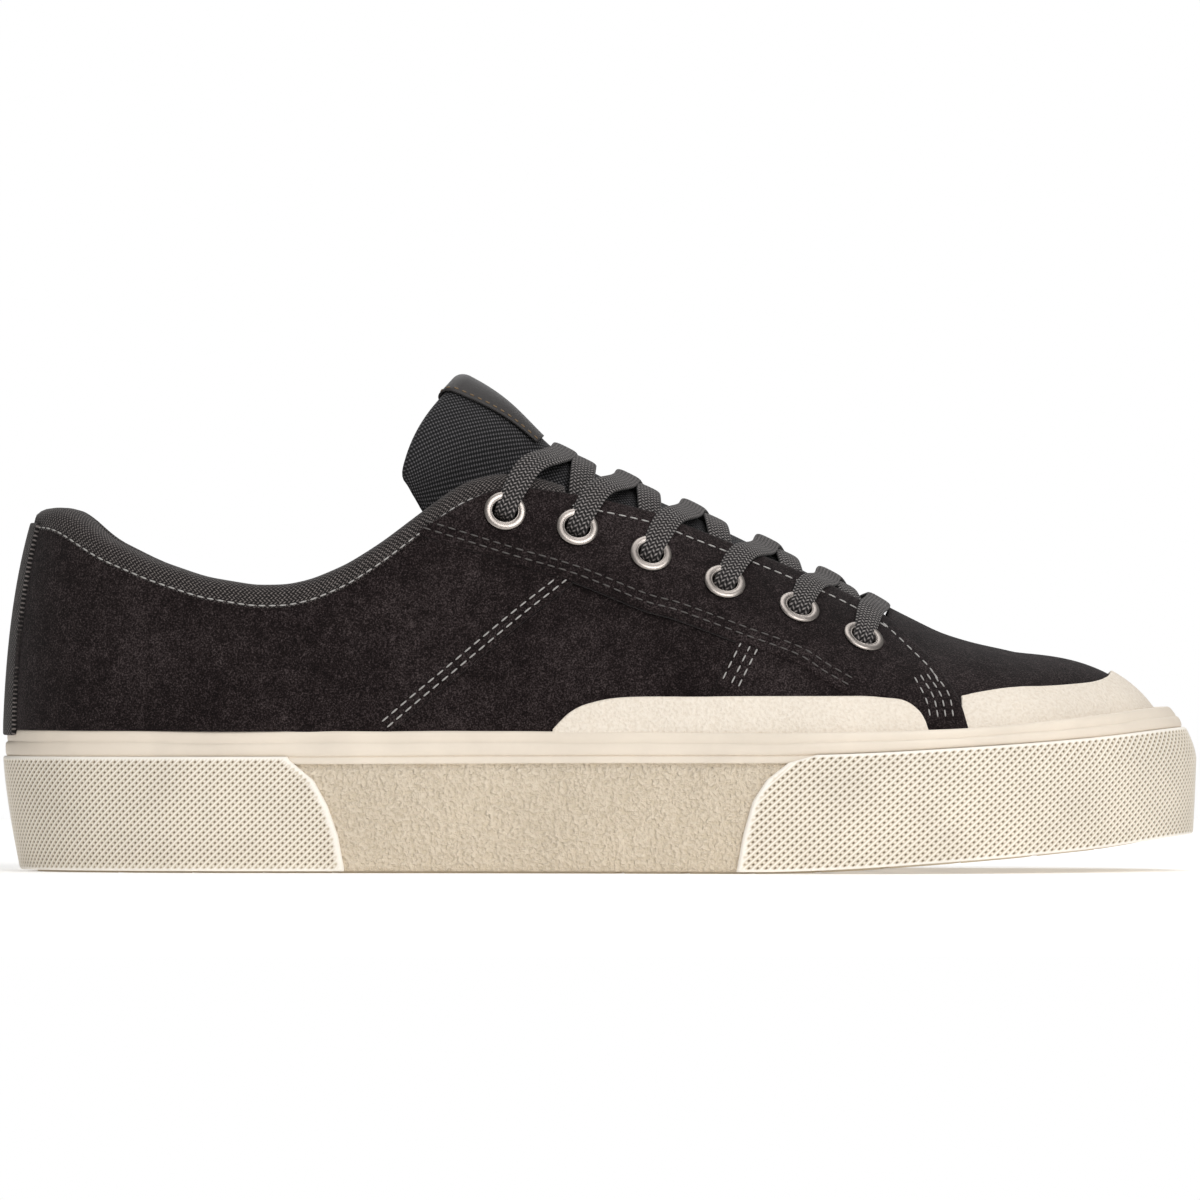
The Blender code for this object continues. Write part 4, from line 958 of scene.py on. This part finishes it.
def makeStay(side, cutter):
    item = ruledPanel(f"eyestay_panel_{sideNames[side]}", stayLower, stayUpper, side, 150, 30, 0.1, upperSizes["stay"], suede, "black_suede")
    cutWith(item, cutter)
    finishPiece(item, f"eyestay_{sideNames[side]}")


def makeSidePanels(side):
    word = sideNames[side]
    patch = ruledPanel(f"side_patch_hide_{word}", patchLower, patchUpper, side, 110, 16, 0.25, 1.2, patchHide, "cream_rubber")
    finishPiece(patch, f"side_patch_{word}")
    low = [(26.6, 41.2), (35.0, 41.2), (44.0, 41.4), (53.0, 41.6), (62.0, 41.8)]
    high = [(34.6, 58.6), (41.0, 56.2), (49.0, 52.8), (56.0, 48.0), (62.5, 44.6)]
    finishPiece(ruledPanel(f"vamp_wing_{word}", low, high, side, 50, 18, 0.05, 0.8, suede, "black_suede"))


bumperTop = [(88.0, 40.0), (89.3, 42.6), (90.6, 43.9), (94.0, 44.5), (98.0, 44.8), (108.9, 45.3), (119.7, 46.2), (122.6, 46.5), (125.2, 47.1), (127.0, 47.9), (128.0, 48.9), (128.8, 52.0), (170.0, 90.0)]


def makeBumper():
    columns = 300
    first, second = (float(placeOn(89.9, 39.0, side)[0]) for side in (-1, 1))
    stations = np.linspace(first, second, columns)
    table = np.array(bumperTop)

    def isBelow(angle):
        place = ribPoint(stations, angle)
        return place[..., 2] < np.interp(place[..., 0], table[:, 0], table[:, 1])

    high = halved(np.full(columns, 0.05), np.full(columns, math.pi / 2), isBelow)
    rounded = np.minimum(np.arange(columns), np.arange(columns)[::-1])
    low = angleAt(stations, valueAt("tapeTop", alongRing(ring, stations)[:, 0]) - 1.2)
    high = np.convolve(np.pad(high, 3, "edge"), np.ones(7) / 7, "valid")
    share = np.linspace(0, 1, 26)[:, None]
    angles = low * (1 - share) + high * share
    grid = np.broadcast_to(stations, angles.shape)
    item = panelFrom("toe_bumper_hide", grid, angles, 0.2, 1.0, patchHide, "cream_rubber")
    return finishPiece(item, "toe_bumper")


def makeHeelStrip():
    share = np.linspace(0, 1, 60)[:, None]
    across = np.linspace(-1, 1, 24)[None, :]
    wide = 9.6
    low, high = 34.6, 86.5
    height = low + (high - low) * share
    width = wide * (1 - 0.08 * share)
    run = across * width
    stations = np.mod(stationOfRun(run), around)
    stations = np.where(stations > half, stations - around, stations)
    stations = stations * (1.25 + 0.0 * share)
    cloth = np.stack([run, height + 0 * run, 0 * run], axis=-1).reshape(-1, 3)
    item = panelFrom("heel_strip_webbing", stations, angleAt(stations, height + 0 * run), 0.9, 1.1, webbing, "webbing", cloth=cloth)
    return finishPiece(item, "heel_strip")


def makeBinding():
    """Woven tape folded over the padded collar, from one top eyelet round the heel to the other."""
    end = float(placeOn(-9.0, 94.0, -1)[0])
    steps = np.linspace(-end, end, 520)
    outer, out, up = edgePlace(steps, 0.0)
    pad = 5.0 * np.clip((-30 - outer[:, 0]) / 30, 0.08, 1)
    inner, inOut, inUp = edgePlace(steps, 2.0 + pad + 0.9)
    above = np.array([0, 0, 1.0])
    wide = 4.7
    rings = []
    for down, lift in ((wide, 0.15), (wide - 0.15, 0.85), (wide - 0.7, 1.05), (wide - 2.2, 1.1), (1.4, 1.15), (0.4, 1.1)):
        rings.append(outer + out * lift - up * down)
    middle = (outer + inner) / 2
    bridge = inner - outer
    for share, rise in ((0.06, 0.75), (0.2, 1.35), (0.38, 1.65), (0.6, 1.65), (0.8, 1.3), (0.95, 0.6)):
        rings.append(outer + bridge * share + above * rise + out * (1 - share) * 0.6 - inOut * share * 0.6)
    for down, lift in ((0.6, 1.0), (2.0, 1.0), (wide, 0.9), (wide + 0.2, 0.2)):
        rings.append(inner - inOut * lift - inUp * down)
    for share in (0.85, 0.5, 0.15):
        rings.append(outer + bridge * share - above * (wide - 1.0 + 0.8))
    points = np.stack(rings, axis=1)
    count = points.shape[1]
    faces = gridFaces(len(steps), count, False, True)
    faces += [list(range(count)), [(len(steps) - 1) * count + k for k in range(count)][::-1]]
    run = np.r_[0, np.cumsum(np.linalg.norm(np.diff(outer, axis=0), axis=1))]
    round = np.r_[0, np.cumsum(np.linalg.norm(np.diff(points[260], axis=0), axis=1))]
    cloth = np.stack(np.broadcast_arrays(round[None, :], run[:, None], 0.0), axis=-1).reshape(-1, 3)
    item = meshPiece("collar_tape", points.reshape(-1, 3), faces, webbing, "webbing", values={"cloth": cloth})
    stitchAlong(outer + out * 1.12 - up * (wide - 0.9), out, 0.05, 1.7, "light")
    return finishPiece(item, "collar_binding")


def makeCollarPadding():
    """The soft roll inside the collar, thick at the ankle and thin at its lower end."""
    end = float(placeOn(-30.0, 90.0, -1)[0])
    steps = np.linspace(-end, end, 300)
    edge = edgePlace(steps, 0.0)[0]
    angle = edgeAngle(steps)
    low = angleAt(steps, np.maximum(edge[:, 2] - 40.0, 24.0))
    pad = 5.2 * np.clip((-28 - edge[:, 0]) / 30, 0.08, 1)
    front = []
    back = []
    for share in np.linspace(0, 1, 26):
        fill = math.sin(min(share * 1.15 + 0.12, 1.0) * math.pi) ** 0.6 if share < 0.9 else 0.0
        fill = max(fill, 0.15)
        level = angle + (low - angle) * share
        quilt = 1 - 0.1 * math.exp(-(((share - 0.5) / 0.06) ** 2))
        place, normal = surface(steps, level, -2.3 - pad * fill * quilt - 0.4)
        place[:, 2] = np.minimum(place[:, 2], edge[:, 2] - 0.8)
        front.append(place)
        place = surface(steps, level, -2.15)[0]
        place[:, 2] = np.minimum(place[:, 2], edge[:, 2] - 0.8)
        back.append(place)
    points = np.stack(front + back[::-1], axis=1)
    count = points.shape[1]
    faces = gridFaces(len(steps), count, False, True)
    faces += [list(range(count)), [(len(steps) - 1) * count + k for k in range(count)][::-1]]
    item = meshPiece("collar_lining", points.reshape(-1, 3), faces, lining, "lining")
    finishPiece(item, "collar_padding")


# ---- tongue ----
tongueSizes = {"labelHalf": 11.5, "labelLow": 7.5, "foldAt": 10.62}
tongueNames = ("position", "x", "z", "half", "down", "back", "power")
tongueRows = [
    (84.0, 57.2, 15.0, 0.0, 0.0, 2.0), (74.0, 62.0, 18.0, 0.0, 0.0, 2.0), (62.0, 68.6, 21.0, 0.0, 0.0, 2.0),
    (48.0, 75.6, 23.5, 0.0, 2.0, 2.0), (30.0, 85.0, 25.5, 0.0, 6.0, 2.0), (10.0, 94.2, 26.0, 0.0, 12.0, 2.4),
    (-3.0, 100.6, 24.0, 21.0, 20.0, 3.0), (-12.0, 105.8, 23.0, 24.0, 26.0, 3.4), (-17.5, 111.6, 23.5, 24.5, 26.0, 3.2),
    (-23.2, 117.4, 25.5, 24.0, 24.5, 2.6), (-29.2, 121.6, 27.0, 23.0, 23.0, 2.2), (-35.4, 124.8, 27.5, 22.5, 19.5, 2.0),
]
rowPlaces = np.arange(-1.0, 12.001, 0.02)
rowTable = np.array(tongueRows)
kernel = np.exp(-0.5 * (np.arange(-60, 61) / 20.0) ** 2)
kernel /= kernel.sum()


def tongueValue(name, position):
    column = tongueNames.index(name) - 1
    spread = np.arange(-2.2, 13.2001, 0.02)
    raw = np.interp(spread, np.arange(12), rowTable[:, column])
    slopeLow, slopeHigh = rowTable[1, column] - rowTable[0, column], rowTable[-1, column] - rowTable[-2, column]
    raw = raw + np.minimum(spread, 0) * slopeLow + np.maximum(spread - 11, 0) * slopeHigh
    soft = np.convolve(raw, kernel, "valid")
    return np.interp(position, spread[60:-60], soft)


def lastOver(x, across, out):
    """Height of the last's surface moved out, above a place on the flank. Across is measured from the ridge."""
    x, across, out = np.broadcast_arrays(x, across, out)
    step = fan + (x - heelCentre) / (toeCentre - heelCentre) * (half - 2 * fan)
    station = np.where(across < 0, step, around - step)
    middle = valueAt("spine", x)

    def isBelow(angle):
        return np.abs(surface(station, angle, out)[0][..., 1] - middle) > np.abs(across)

    angle = halved(np.full(x.shape, 0.3), np.full(x.shape, math.pi / 2 - 0.001), isBelow, 24)
    return surface(station, angle, out)[0][..., 2]


throatX = np.arange(-60.0, 72.6, 1.5)
throatTable = {}
for side in (-1, 1):
    step = fan + (throatX - heelCentre) / (toeCentre - heelCentre) * (half - 2 * fan)
    throatStation = step if side < 0 else around - step
    throatTable[side] = np.abs(edgePlace(throatStation, 0.0)[0][:, 1] - valueAt("spine", throatX))


def throatHalf(x, side):
    return np.where(side < 0, np.interp(x, throatX, throatTable[-1]), np.interp(x, throatX, throatTable[1]))


def tongueFront(position, share):
    """The tongue's front face: position runs along its rows, share from -1 to 1 across it."""
    position, share = np.broadcast_arrays(np.asarray(position, float), np.asarray(share, float))
    x, z, wide, down, back, power = (tongueValue(name, position) for name in tongueNames[1:])
    curl = np.abs(share) ** power
    along = x - back * curl
    across = wide * share
    free = z - down * curl
    near = np.maximum(throatHalf(np.minimum(along, 71.0), np.sign(share)) - 3, 1.0)
    near = near * (1 - softStep(along, 68, 74)) + 1.0 * softStep(along, 68, 74)
    cover = np.clip(np.abs(across) / near, 0, 1)
    followed = lastOver(along, across, -(2.2 + 1.9 * cover))
    height = free + (np.minimum(free, followed) - free) * softStep(x, -14, 2)
    height = height + (followed - height) * softStep(x, 2, 16)
    # Beside the collar the tongue is held between the padded sides.
    step = fan + (along - heelCentre) / (toeCentre - heelCentre) * (half - 2 * fan)
    station = np.where(share < 0, step, around - step)
    held = np.clip(height, 40, valueAt("edge", along) + 9)
    limit = np.abs(surface(station, angleAt(station, held), -8.4)[0][..., 1] - valueAt("spine", along))
    pinch = (1 - softStep(height - valueAt("edge", along), 2, 12)) * (1 - softStep(x, -6, 4))
    across = across + (np.sign(share) * np.minimum(np.abs(across), limit) - across) * pinch
    return np.stack([along, valueAt("spine", along) + across, height], axis=-1)


def tongueNormal(position, share):
    along = tongueFront(position + 0.04, share) - tongueFront(position - 0.04, share)
    across = tongueFront(position, share + 0.02) - tongueFront(position, share - 0.02)
    normal = np.cross(along, across)
    normal /= np.linalg.norm(normal, axis=-1, keepdims=True)
    return np.where((normal[..., 0] + normal[..., 2] > 0)[..., None], normal, -normal)


def tongueThick(position):
    return np.interp(position, [0, 1, 3, 5, 9.5, 11], [2.6, 3.2, 4.6, 6.0, 6.0, 4.2])


def softened(place, passes):
    # Evens out a grid of points; its outermost rows and columns keep their line and are evened along it only.
    for _ in range(passes):
        place[1:-1] = (place[:-2] + 2 * place[1:-1] + place[2:]) / 4
        place[:, 1:-1] = (place[:, :-2] + 2 * place[:, 1:-1] + place[:, 2:]) / 4
    return place


def makeTongue():
    rows, columns = 150, 70
    turn = np.linspace(-math.pi / 2, math.pi / 2, columns)
    share = np.sin(turn)[None, :]
    topRow = 11.0 - 2.4 * (1 - np.sqrt(1 - np.clip((np.abs(share) - 0.45) / 0.55, 0, 1) ** 3))
    position = np.linspace(0, 1, rows)[:, None] ** 0.8 * topRow
    share = share + 0 * position
    place, hint = softened(tongueFront(position, share), 16), tongueNormal(position, share * 0.97)
    normal = np.cross(np.gradient(place, axis=0), np.gradient(place, axis=1))
    normal = softened(normal / np.linalg.norm(normal, axis=-1, keepdims=True), 4)
    normal /= np.linalg.norm(normal, axis=-1, keepdims=True)
    normal *= np.sign((normal * hint).sum(axis=-1).mean())
    thick = tongueThick(position)
    side = np.sqrt(np.clip(1 - np.abs(share) ** 9, 0, 1))
    end = np.sqrt(np.clip(1 - np.clip((position - topRow + 0.42) / 0.42, 0, 1) ** 2, 0, 1))
    fill = (side * end)[..., None]
    middle = place - normal * (thick / 2)[..., None]
    front = middle + normal * (thick / 2)[..., None] * fill
    back = middle - normal * (thick / 2)[..., None] * fill
    count = rows * columns
    faces = gridFaces(rows, columns) + [face[::-1] for face in gridFaces(rows, columns, first=count)]
    faces += [[k, k + 1, count + k + 1, count + k] for k in range(columns - 1)]
    widthRun = np.cumsum(np.linalg.norm(np.diff(place, axis=1, prepend=place[:, :1]), axis=-1), axis=1)
    lengthRun = np.cumsum(np.linalg.norm(np.diff(place, axis=0, prepend=place[:1]), axis=-1), axis=0)
    widthRun -= widthRun[:, columns // 2][:, None]
    cloth = np.stack([widthRun, lengthRun, 0 * share], axis=-1).reshape(-1, 3)
    both = np.vstack([front.reshape(-1, 3), back.reshape(-1, 3)])
    item = meshPiece("tongue_canvas", both, faces, canvas, "canvas", values={"cloth": np.vstack([cloth, cloth])})
    finishPiece(item, "tongue")
    return item


def makeLabel():
    """A plain satin strip down the middle of the tongue's top, folded over it, sewn at both edges."""
    columns = 26
    foldAt = tongueSizes["foldAt"]
    across = np.linspace(-1, 1, columns)[None, :] * tongueSizes["labelHalf"] / 27.0
    position = np.linspace(tongueSizes["labelLow"], foldAt, 48)[:, None]
    front, normal = tongueFront(position, across + 0 * position), tongueNormal(position, across + 0 * position)
    rows = [front + normal * 0.3]
    normals = [normal]
    centre, out = tongueFront(foldAt + 0 * across, across), tongueNormal(foldAt + 0 * across, across)
    upward = tongueFront(foldAt + 0.1 + 0 * across, across) - centre
    upward /= np.linalg.norm(upward, axis=-1, keepdims=True)
    reach = tongueFront(11.0 + 0 * across, across) - centre
    length = np.linalg.norm(reach, axis=-1, keepdims=True) + 0.5
    deep = tongueThick(foldAt) / 2
    for angle in np.linspace(0.08, math.pi, 18):
        rows.append(centre - out * deep + out * math.cos(angle) * (deep + 0.3) + upward * math.sin(angle) * length)
        normals.append(out * math.cos(angle) + upward * math.sin(angle))
    for step in (2.0, 5.0, 8.0, 12.0):
        behind = foldAt - step / 5.6
        place = tongueFront(behind + 0 * across, across)
        rows.append(place - tongueNormal(behind + 0 * across, across) * (tongueThick(behind) + 0.3))
        normals.append(-tongueNormal(behind + 0 * across, across))
    base, normals = np.vstack(rows), np.vstack(normals)
    top = base + normals * 0.45
    total = base.shape[0]
    count = total * columns
    faces = gridFaces(total, columns) + [face[::-1] for face in gridFaces(total, columns, first=count)]
    loop, _ = boundaryOf(total, columns)
    edge = len(loop)
    faces += [(loop[k], loop[(k + 1) % edge], count + loop[(k + 1) % edge], count + loop[k]) for k in range(edge)]
    item = meshPiece("label_strip", np.vstack([top.reshape(-1, 3), base.reshape(-1, 3)]), faces, labelMaterial, "label")
    for column in (1, columns - 2):
        stitchAlong(top[:, column], normals[:, column], 0.02, 1.2, "brown")
    return finishPiece(item, "tongue_label")


# ---- eyelets and lace ----
def makeEyelets():
    for side, word in sideNames.items():
        for row in range(len(eyeletRows)):
            place, normal = eyeletPlace(row, side)
            bpy.ops.mesh.primitive_torus_add(major_radius=0.00425, minor_radius=0.001, major_segments=44, minor_segments=14)
            rolled = bpy.context.active_object
            bpy.ops.object.mode_set(mode="EDIT")
            bpy.ops.mesh.select_all(action="SELECT")
            bpy.ops.transform.resize(value=(1, 1, 0.5))
            bpy.ops.transform.translate(value=(0, 0, 0.0021))
            bpy.ops.object.mode_set(mode="OBJECT")
            bpy.ops.mesh.primitive_cylinder_add(vertices=40, radius=0.0036, depth=0.0054, end_fill_type="NOTHING")
            barrel = bpy.context.active_object
            bpy.ops.object.mode_set(mode="EDIT")
            bpy.ops.mesh.select_all(action="SELECT")
            bpy.ops.transform.translate(value=(0, 0, -0.0002))
            bpy.ops.object.mode_set(mode="OBJECT")
            wall = barrel.modifiers.new("wall", "SOLIDIFY")
            wall.thickness = 0.0003
            applyModifiers(barrel)
            item = joined([rolled, barrel], f"eyelet_ring_{word}_{row + 1}")
            turnOnto(item, place, normal)
            item.data.materials.clear()
            item.data.materials.append(nickel)
            item.data.shade_smooth()
            item["slotName"] = "nickel"
            finishPiece(item, f"eyelet_{word}_{row + 1}")


laceSizes = {"width": 6.7, "thick": 1.4}


def ribbon(points, start, widths):
    """Vertices of a flat braid along a curve. Start is the way its face looks at the middle of the curve."""
    count = len(points)
    along = np.gradient(points, axis=0)
    along /= np.linalg.norm(along, axis=1)[:, None]
    centre = count // 2
    faceWay = np.zeros_like(points)
    first = start - along[centre] * (start @ along[centre])
    faceWay[centre] = first / np.linalg.norm(first)
    for direction in (1, -1):
        i = centre
        while 0 <= i + direction < count:
            nextPlace = i + direction
            carried = faceWay[i] - along[nextPlace] * (faceWay[i] @ along[nextPlace])
            faceWay[nextPlace] = carried / np.linalg.norm(carried)
            i = nextPlace
    side = np.cross(faceWay, along)
    section = []
    for angle in np.linspace(0, 2 * math.pi, 20, endpoint=False):
        a, b = math.cos(angle), math.sin(angle)
        section.append((np.sign(a) * abs(a) ** 0.6, np.sign(b) * abs(b) ** 0.8))
    rows = []
    cloth = []
    run = np.r_[0, np.cumsum(np.linalg.norm(np.diff(points, axis=0), axis=1))]
    for a, b in section:
        rows.append(points + side * (a * widths[:, None] / 2) + faceWay * (b * laceSizes["thick"] / 2))
        cloth.append(np.c_[a * widths / 2, run, 0 * run])
    return np.stack(rows, axis=1), np.stack(cloth, axis=1)


def splineThrough(points, count):
    points = np.array(points, float)
    chord = np.r_[0, np.cumsum(np.linalg.norm(np.diff(points, axis=0), axis=1) ** 0.7)]
    size = len(points)
    gap = np.diff(chord)
    system = np.eye(size)
    pull = np.zeros((size, 3))
    for i in range(1, size - 1):
        system[i, i - 1 : i + 2] = (gap[i - 1], 2 * (gap[i - 1] + gap[i]), gap[i])
        pull[i] = 6 * ((points[i + 1] - points[i]) / gap[i] - (points[i] - points[i - 1]) / gap[i - 1])
    bend = np.linalg.solve(system, pull)
    at = np.linspace(0, chord[-1], count * 6)
    i = np.clip(np.searchsorted(chord, at, "right") - 1, 0, size - 2)
    t = ((at - chord[i]) / gap[i])[:, None]
    rest = 1 - t
    g = gap[i][:, None]
    curve = rest * points[i] + t * points[i + 1] + ((rest**3 - rest) * bend[i] + (t**3 - t) * bend[i + 1]) * g**2 / 6
    run = np.r_[0, np.cumsum(np.linalg.norm(np.diff(curve, axis=0), axis=1))]
    even = np.linspace(0, run[-1], count)
    return np.stack([np.interp(even, run, curve[:, k]) for k in range(3)], axis=1)


# How far in front of its eyelet each strand crosses the ridge, from the lowest pair up, on its way from either side.
crossForward = {-1: [8.5, 11.5, 11.0, 13.0, 15.0], 1: [12.0, 16.0, 16.5, 18.0, 20.0]}


def throatPlace(x, across, out):
    """A place over the throat: across is measured from the ridge, out from the form of the last."""
    x, across, out = np.broadcast_arrays(np.asarray(x, float), np.asarray(across, float), np.asarray(out, float))
    return np.stack([x, valueAt("spine", x) + across, lastOver(x, across, out)], axis=-1)


def laceRoute(start, end, middle, outs):
    """Even steps across the throat between two places (x, across), by way of middle. Outs are (share, out) pairs."""
    across = np.linspace(start[1], end[1], 61)
    facing = np.sign(end[1])
    level = throatPlace((start[0] + end[0]) / 2, across, 1.0)[:, 2]
    near = across * facing < 0
    rise = np.where(near, (level - level[0]) / (level.max() - level[0]), (level.max() - level) / (level.max() - level[-1]))
    even = np.where(near, 1 - across / start[1], across / end[1])
    share = np.clip(0.9 * rise + 0.1 * even, 0, 1) ** 0.85
    x = np.where(near, start[0] + (middle - start[0]) * share, middle + (end[0] - middle) * share)
    x = np.convolve(np.pad(x, 3, "edge"), np.ones(7) / 7, "valid")
    line = throatPlace(x, across, 1.0)
    run = np.r_[0, np.cumsum(np.linalg.norm(np.diff(line, axis=0), axis=1))]
    picks = [pick for pick, _ in outs]
    return throatPlace(np.interp(picks, run / run[-1], x), np.interp(picks, run / run[-1], across), [out for _, out in outs])


def lacePieces():
    """The curve, the way it faces and the widths of every strand of the lace."""
    shapes = []
    for row in range(1, len(eyeletRows)):
        for side in (-1, 1):
            start, startNormal = eyeletPlace(row, side)
            far, _ = eyeletPlace(row - 1, -side)
            begin = (start[0], start[1] - float(valueAt("spine", start[0])))
            farEdge = float(throatHalf(far[0], -side))
            finish = (far[0] + 0.6, -side * (farEdge + 2.0))
            middle = start[0] + crossForward[side][row - 1]
            if side < 0:
                outs = [(0.14, 3.2), (0.26, 2.4), (0.38, 0.6), (0.5, -0.2), (0.62, 0.5), (0.74, 0.2), (0.86, -2.0), (1.0, -3.7)]
            else:
                outs = [(0.14, 3.2), (0.26, 2.0), (0.36, -0.4), (0.5, -0.9), (0.64, -0.9), (0.78, -1.2), (0.9, -2.6), (1.0, -3.7)]
            route = [start - startNormal * 3.0, start + startNormal * 0.9]
            route += list(laceRoute(begin, finish, middle, outs))
            run = np.linspace(0, 1, 100)
            widths = laceSizes["width"] * (1 - 0.25 * np.exp(-((run / 0.14) ** 2)))
            shapes.append((splineThrough(route, 100), np.array([0.45, 0.0, 0.9]), widths))
    start, startNormal = eyeletPlace(0, -1)
    far, farNormal = eyeletPlace(0, 1)
    begin, finish = ((place[0], place[1] - float(valueAt("spine", place[0]))) for place in (start, far))
    outs = [(0.14, 3.0), (0.28, 2.0), (0.4, 0.8), (0.5, 0.6), (0.6, 0.8), (0.72, 2.0), (0.86, 3.0)]
    route = [start - startNormal * 3.0, start + startNormal * 0.9]
    route += list(laceRoute(begin, finish, start[0] + 5.0, outs))
    route += [far + farNormal * 0.9, far - farNormal * 3.0]
    run = np.linspace(0, 1, 120)
    ends = np.exp(-((run / 0.12) ** 2)) + np.exp(-(((1 - run) / 0.12) ** 2))
    shapes.append((splineThrough(route, 120), np.array([0.5, 0.0, 0.86]), laceSizes["width"] * (1 - 0.25 * ends)))
    return shapes


def makeLace():
    vertices, cloth, faces = [], [], []
    first = 0
    for points, start, widths in lacePieces():
        grid, laid = ribbon(points, start, widths)
        rows, columns = grid.shape[:2]
        cloth.append(laid.reshape(-1, 3))
        vertices.append(grid.reshape(-1, 3))
        faces += gridFaces(rows, columns, False, True, first)
        faces += [list(range(first, first + columns)), [first + (rows - 1) * columns + k for k in range(columns)][::-1]]
        first += rows * columns
    item = meshPiece("lace", np.vstack(vertices), faces, braid, "lace", values={"cloth": np.vstack(cloth)})
    return finishPiece(item, "lace_bar", *(f"lace_cross_{k}" for k in range(1, 6)))


def sewUpper():
    for side in (-1, 1):
        on = upperSizes["panel"] + 0.05
        for shift in (-1.3, -3.2):
            stitchRow(seamLine, side, on, shift)
        over = upperSizes["stay"] + 0.1
        for shift in (1.3, 3.1):
            stitchRow(stayLower[:9], side, over, shift, kind="dark")
        stitchRow([(x - 0.3, z - 2.5) for x, z in stayUpper[2:9]], side, over)
        stitchRow([(x - 1.9, z - 0.9) for x, z in stayUpper[8:12]], side, over)
        for shift in (-1.3, -3.2, -5.6):
            stitchRow([(40.3, 55.4), (37.6, 50.0), (35.2, 45.2)], side, 0.85, shift)
        for column in range(4):
            foot, head = 80.4 + column * 1.9, 77.4 + column * 1.6
            stitchRow([(foot + 1.2, 37.6), (foot, 42.4 + column * 0.4), (head, 48.0 + column * 0.3)], side, over)


cutter = holeCutter(4.3, 12.0)
makeUpper(cutter)
for side in (-1, 1):
    makeRearQuarter(side)
    makeStay(side, cutter)
    makeSidePanels(side)
bpy.data.objects.remove(cutter)
makeBumper()
makeHeelStrip()
print("upper ready")
makeBinding()
makeCollarPadding()
makeTongue()
makeLabel()
print("collar and tongue ready")
makeEyelets()
makeLace()
sewUpper()
for kind, material in (("light", thread), ("dark", darkThread), ("brown", brownThread)):
    finishPiece(sewAll(kind, material))
print("laces and stitches ready")

# ---- floor, light and camera ----
studio = {"floor": "#F4F3F1", "floorSize": 2.0, "floorGlow": 0.3, "sky": 0.23, "lens": 500.0}
lamps = {
    "key": {"place": (0.6, -1.25, 1.0), "size": 1.1, "power": 19.0}, "fill": {"place": (-0.5, -1.2, 0.5), "size": 1.0, "power": 0.9},
    "top": {"place": (0.05, 0.15, 1.4), "size": 1.0, "power": 6.0}, "back": {"place": (0.0, 1.0, 0.8), "size": 0.8, "power": 3.5},
}


def makeStudio():
    bpy.ops.mesh.primitive_plane_add(size=studio["floorSize"], location=(0, 0, 0))
    floor = bpy.context.active_object
    floor.name = "floor"
    material = plainMaterial("matt white paper", studio["floor"], 0.9)
    shader = material.node_tree.nodes["Principled BSDF"]
    shader.inputs["Emission Color"].default_value = (1, 1, 1, 1)
    shader.inputs["Emission Strength"].default_value = studio["floorGlow"]
    floor.data.materials.append(material)
    scene = bpy.context.scene
    scene.view_settings.view_transform = "Standard"
    world = bpy.data.worlds.new("soft studio")
    scene.world = world
    world.use_nodes = True
    # The backdrop is seen as plain white paper, and gives less light than it shows.
    tree = world.node_tree
    background = tree.nodes["Background"]
    background.inputs["Color"].default_value = (1, 1, 1, 1)
    background.inputs["Strength"].default_value = studio["sky"]
    paper = tree.nodes.new("ShaderNodeBackground")
    paper.inputs["Color"].default_value = (1, 1, 1, 1)
    paths = tree.nodes.new("ShaderNodeLightPath")
    both = tree.nodes.new("ShaderNodeMixShader")
    tree.links.new(paths.outputs["Is Camera Ray"], both.inputs[0])
    tree.links.new(background.outputs[0], both.inputs[1])
    tree.links.new(paper.outputs[0], both.inputs[2])
    tree.links.new(both.outputs[0], tree.nodes["World Output"].inputs["Surface"])
    for name, lamp in lamps.items():
        bpy.ops.object.light_add(type="AREA", location=lamp["place"])
        light = bpy.context.active_object
        light.name = name
        light.data.energy = lamp["power"]
        light.data.size = lamp["size"]
        aim = bpy.data.objects["floor"].location.copy()
        aim.z = 0.05
        light.rotation_euler = (aim - light.location).to_track_quat("-Z", "Y").to_euler()
    bpy.ops.object.camera_add(location=(-0.00015, -4.183, 0.068), rotation=(math.pi / 2, 0, 0))
    camera = bpy.context.active_object
    camera.data.lens = studio["lens"]
    camera.data.clip_end = 40
    scene.camera = camera


makeStudio()
print("studio ready")
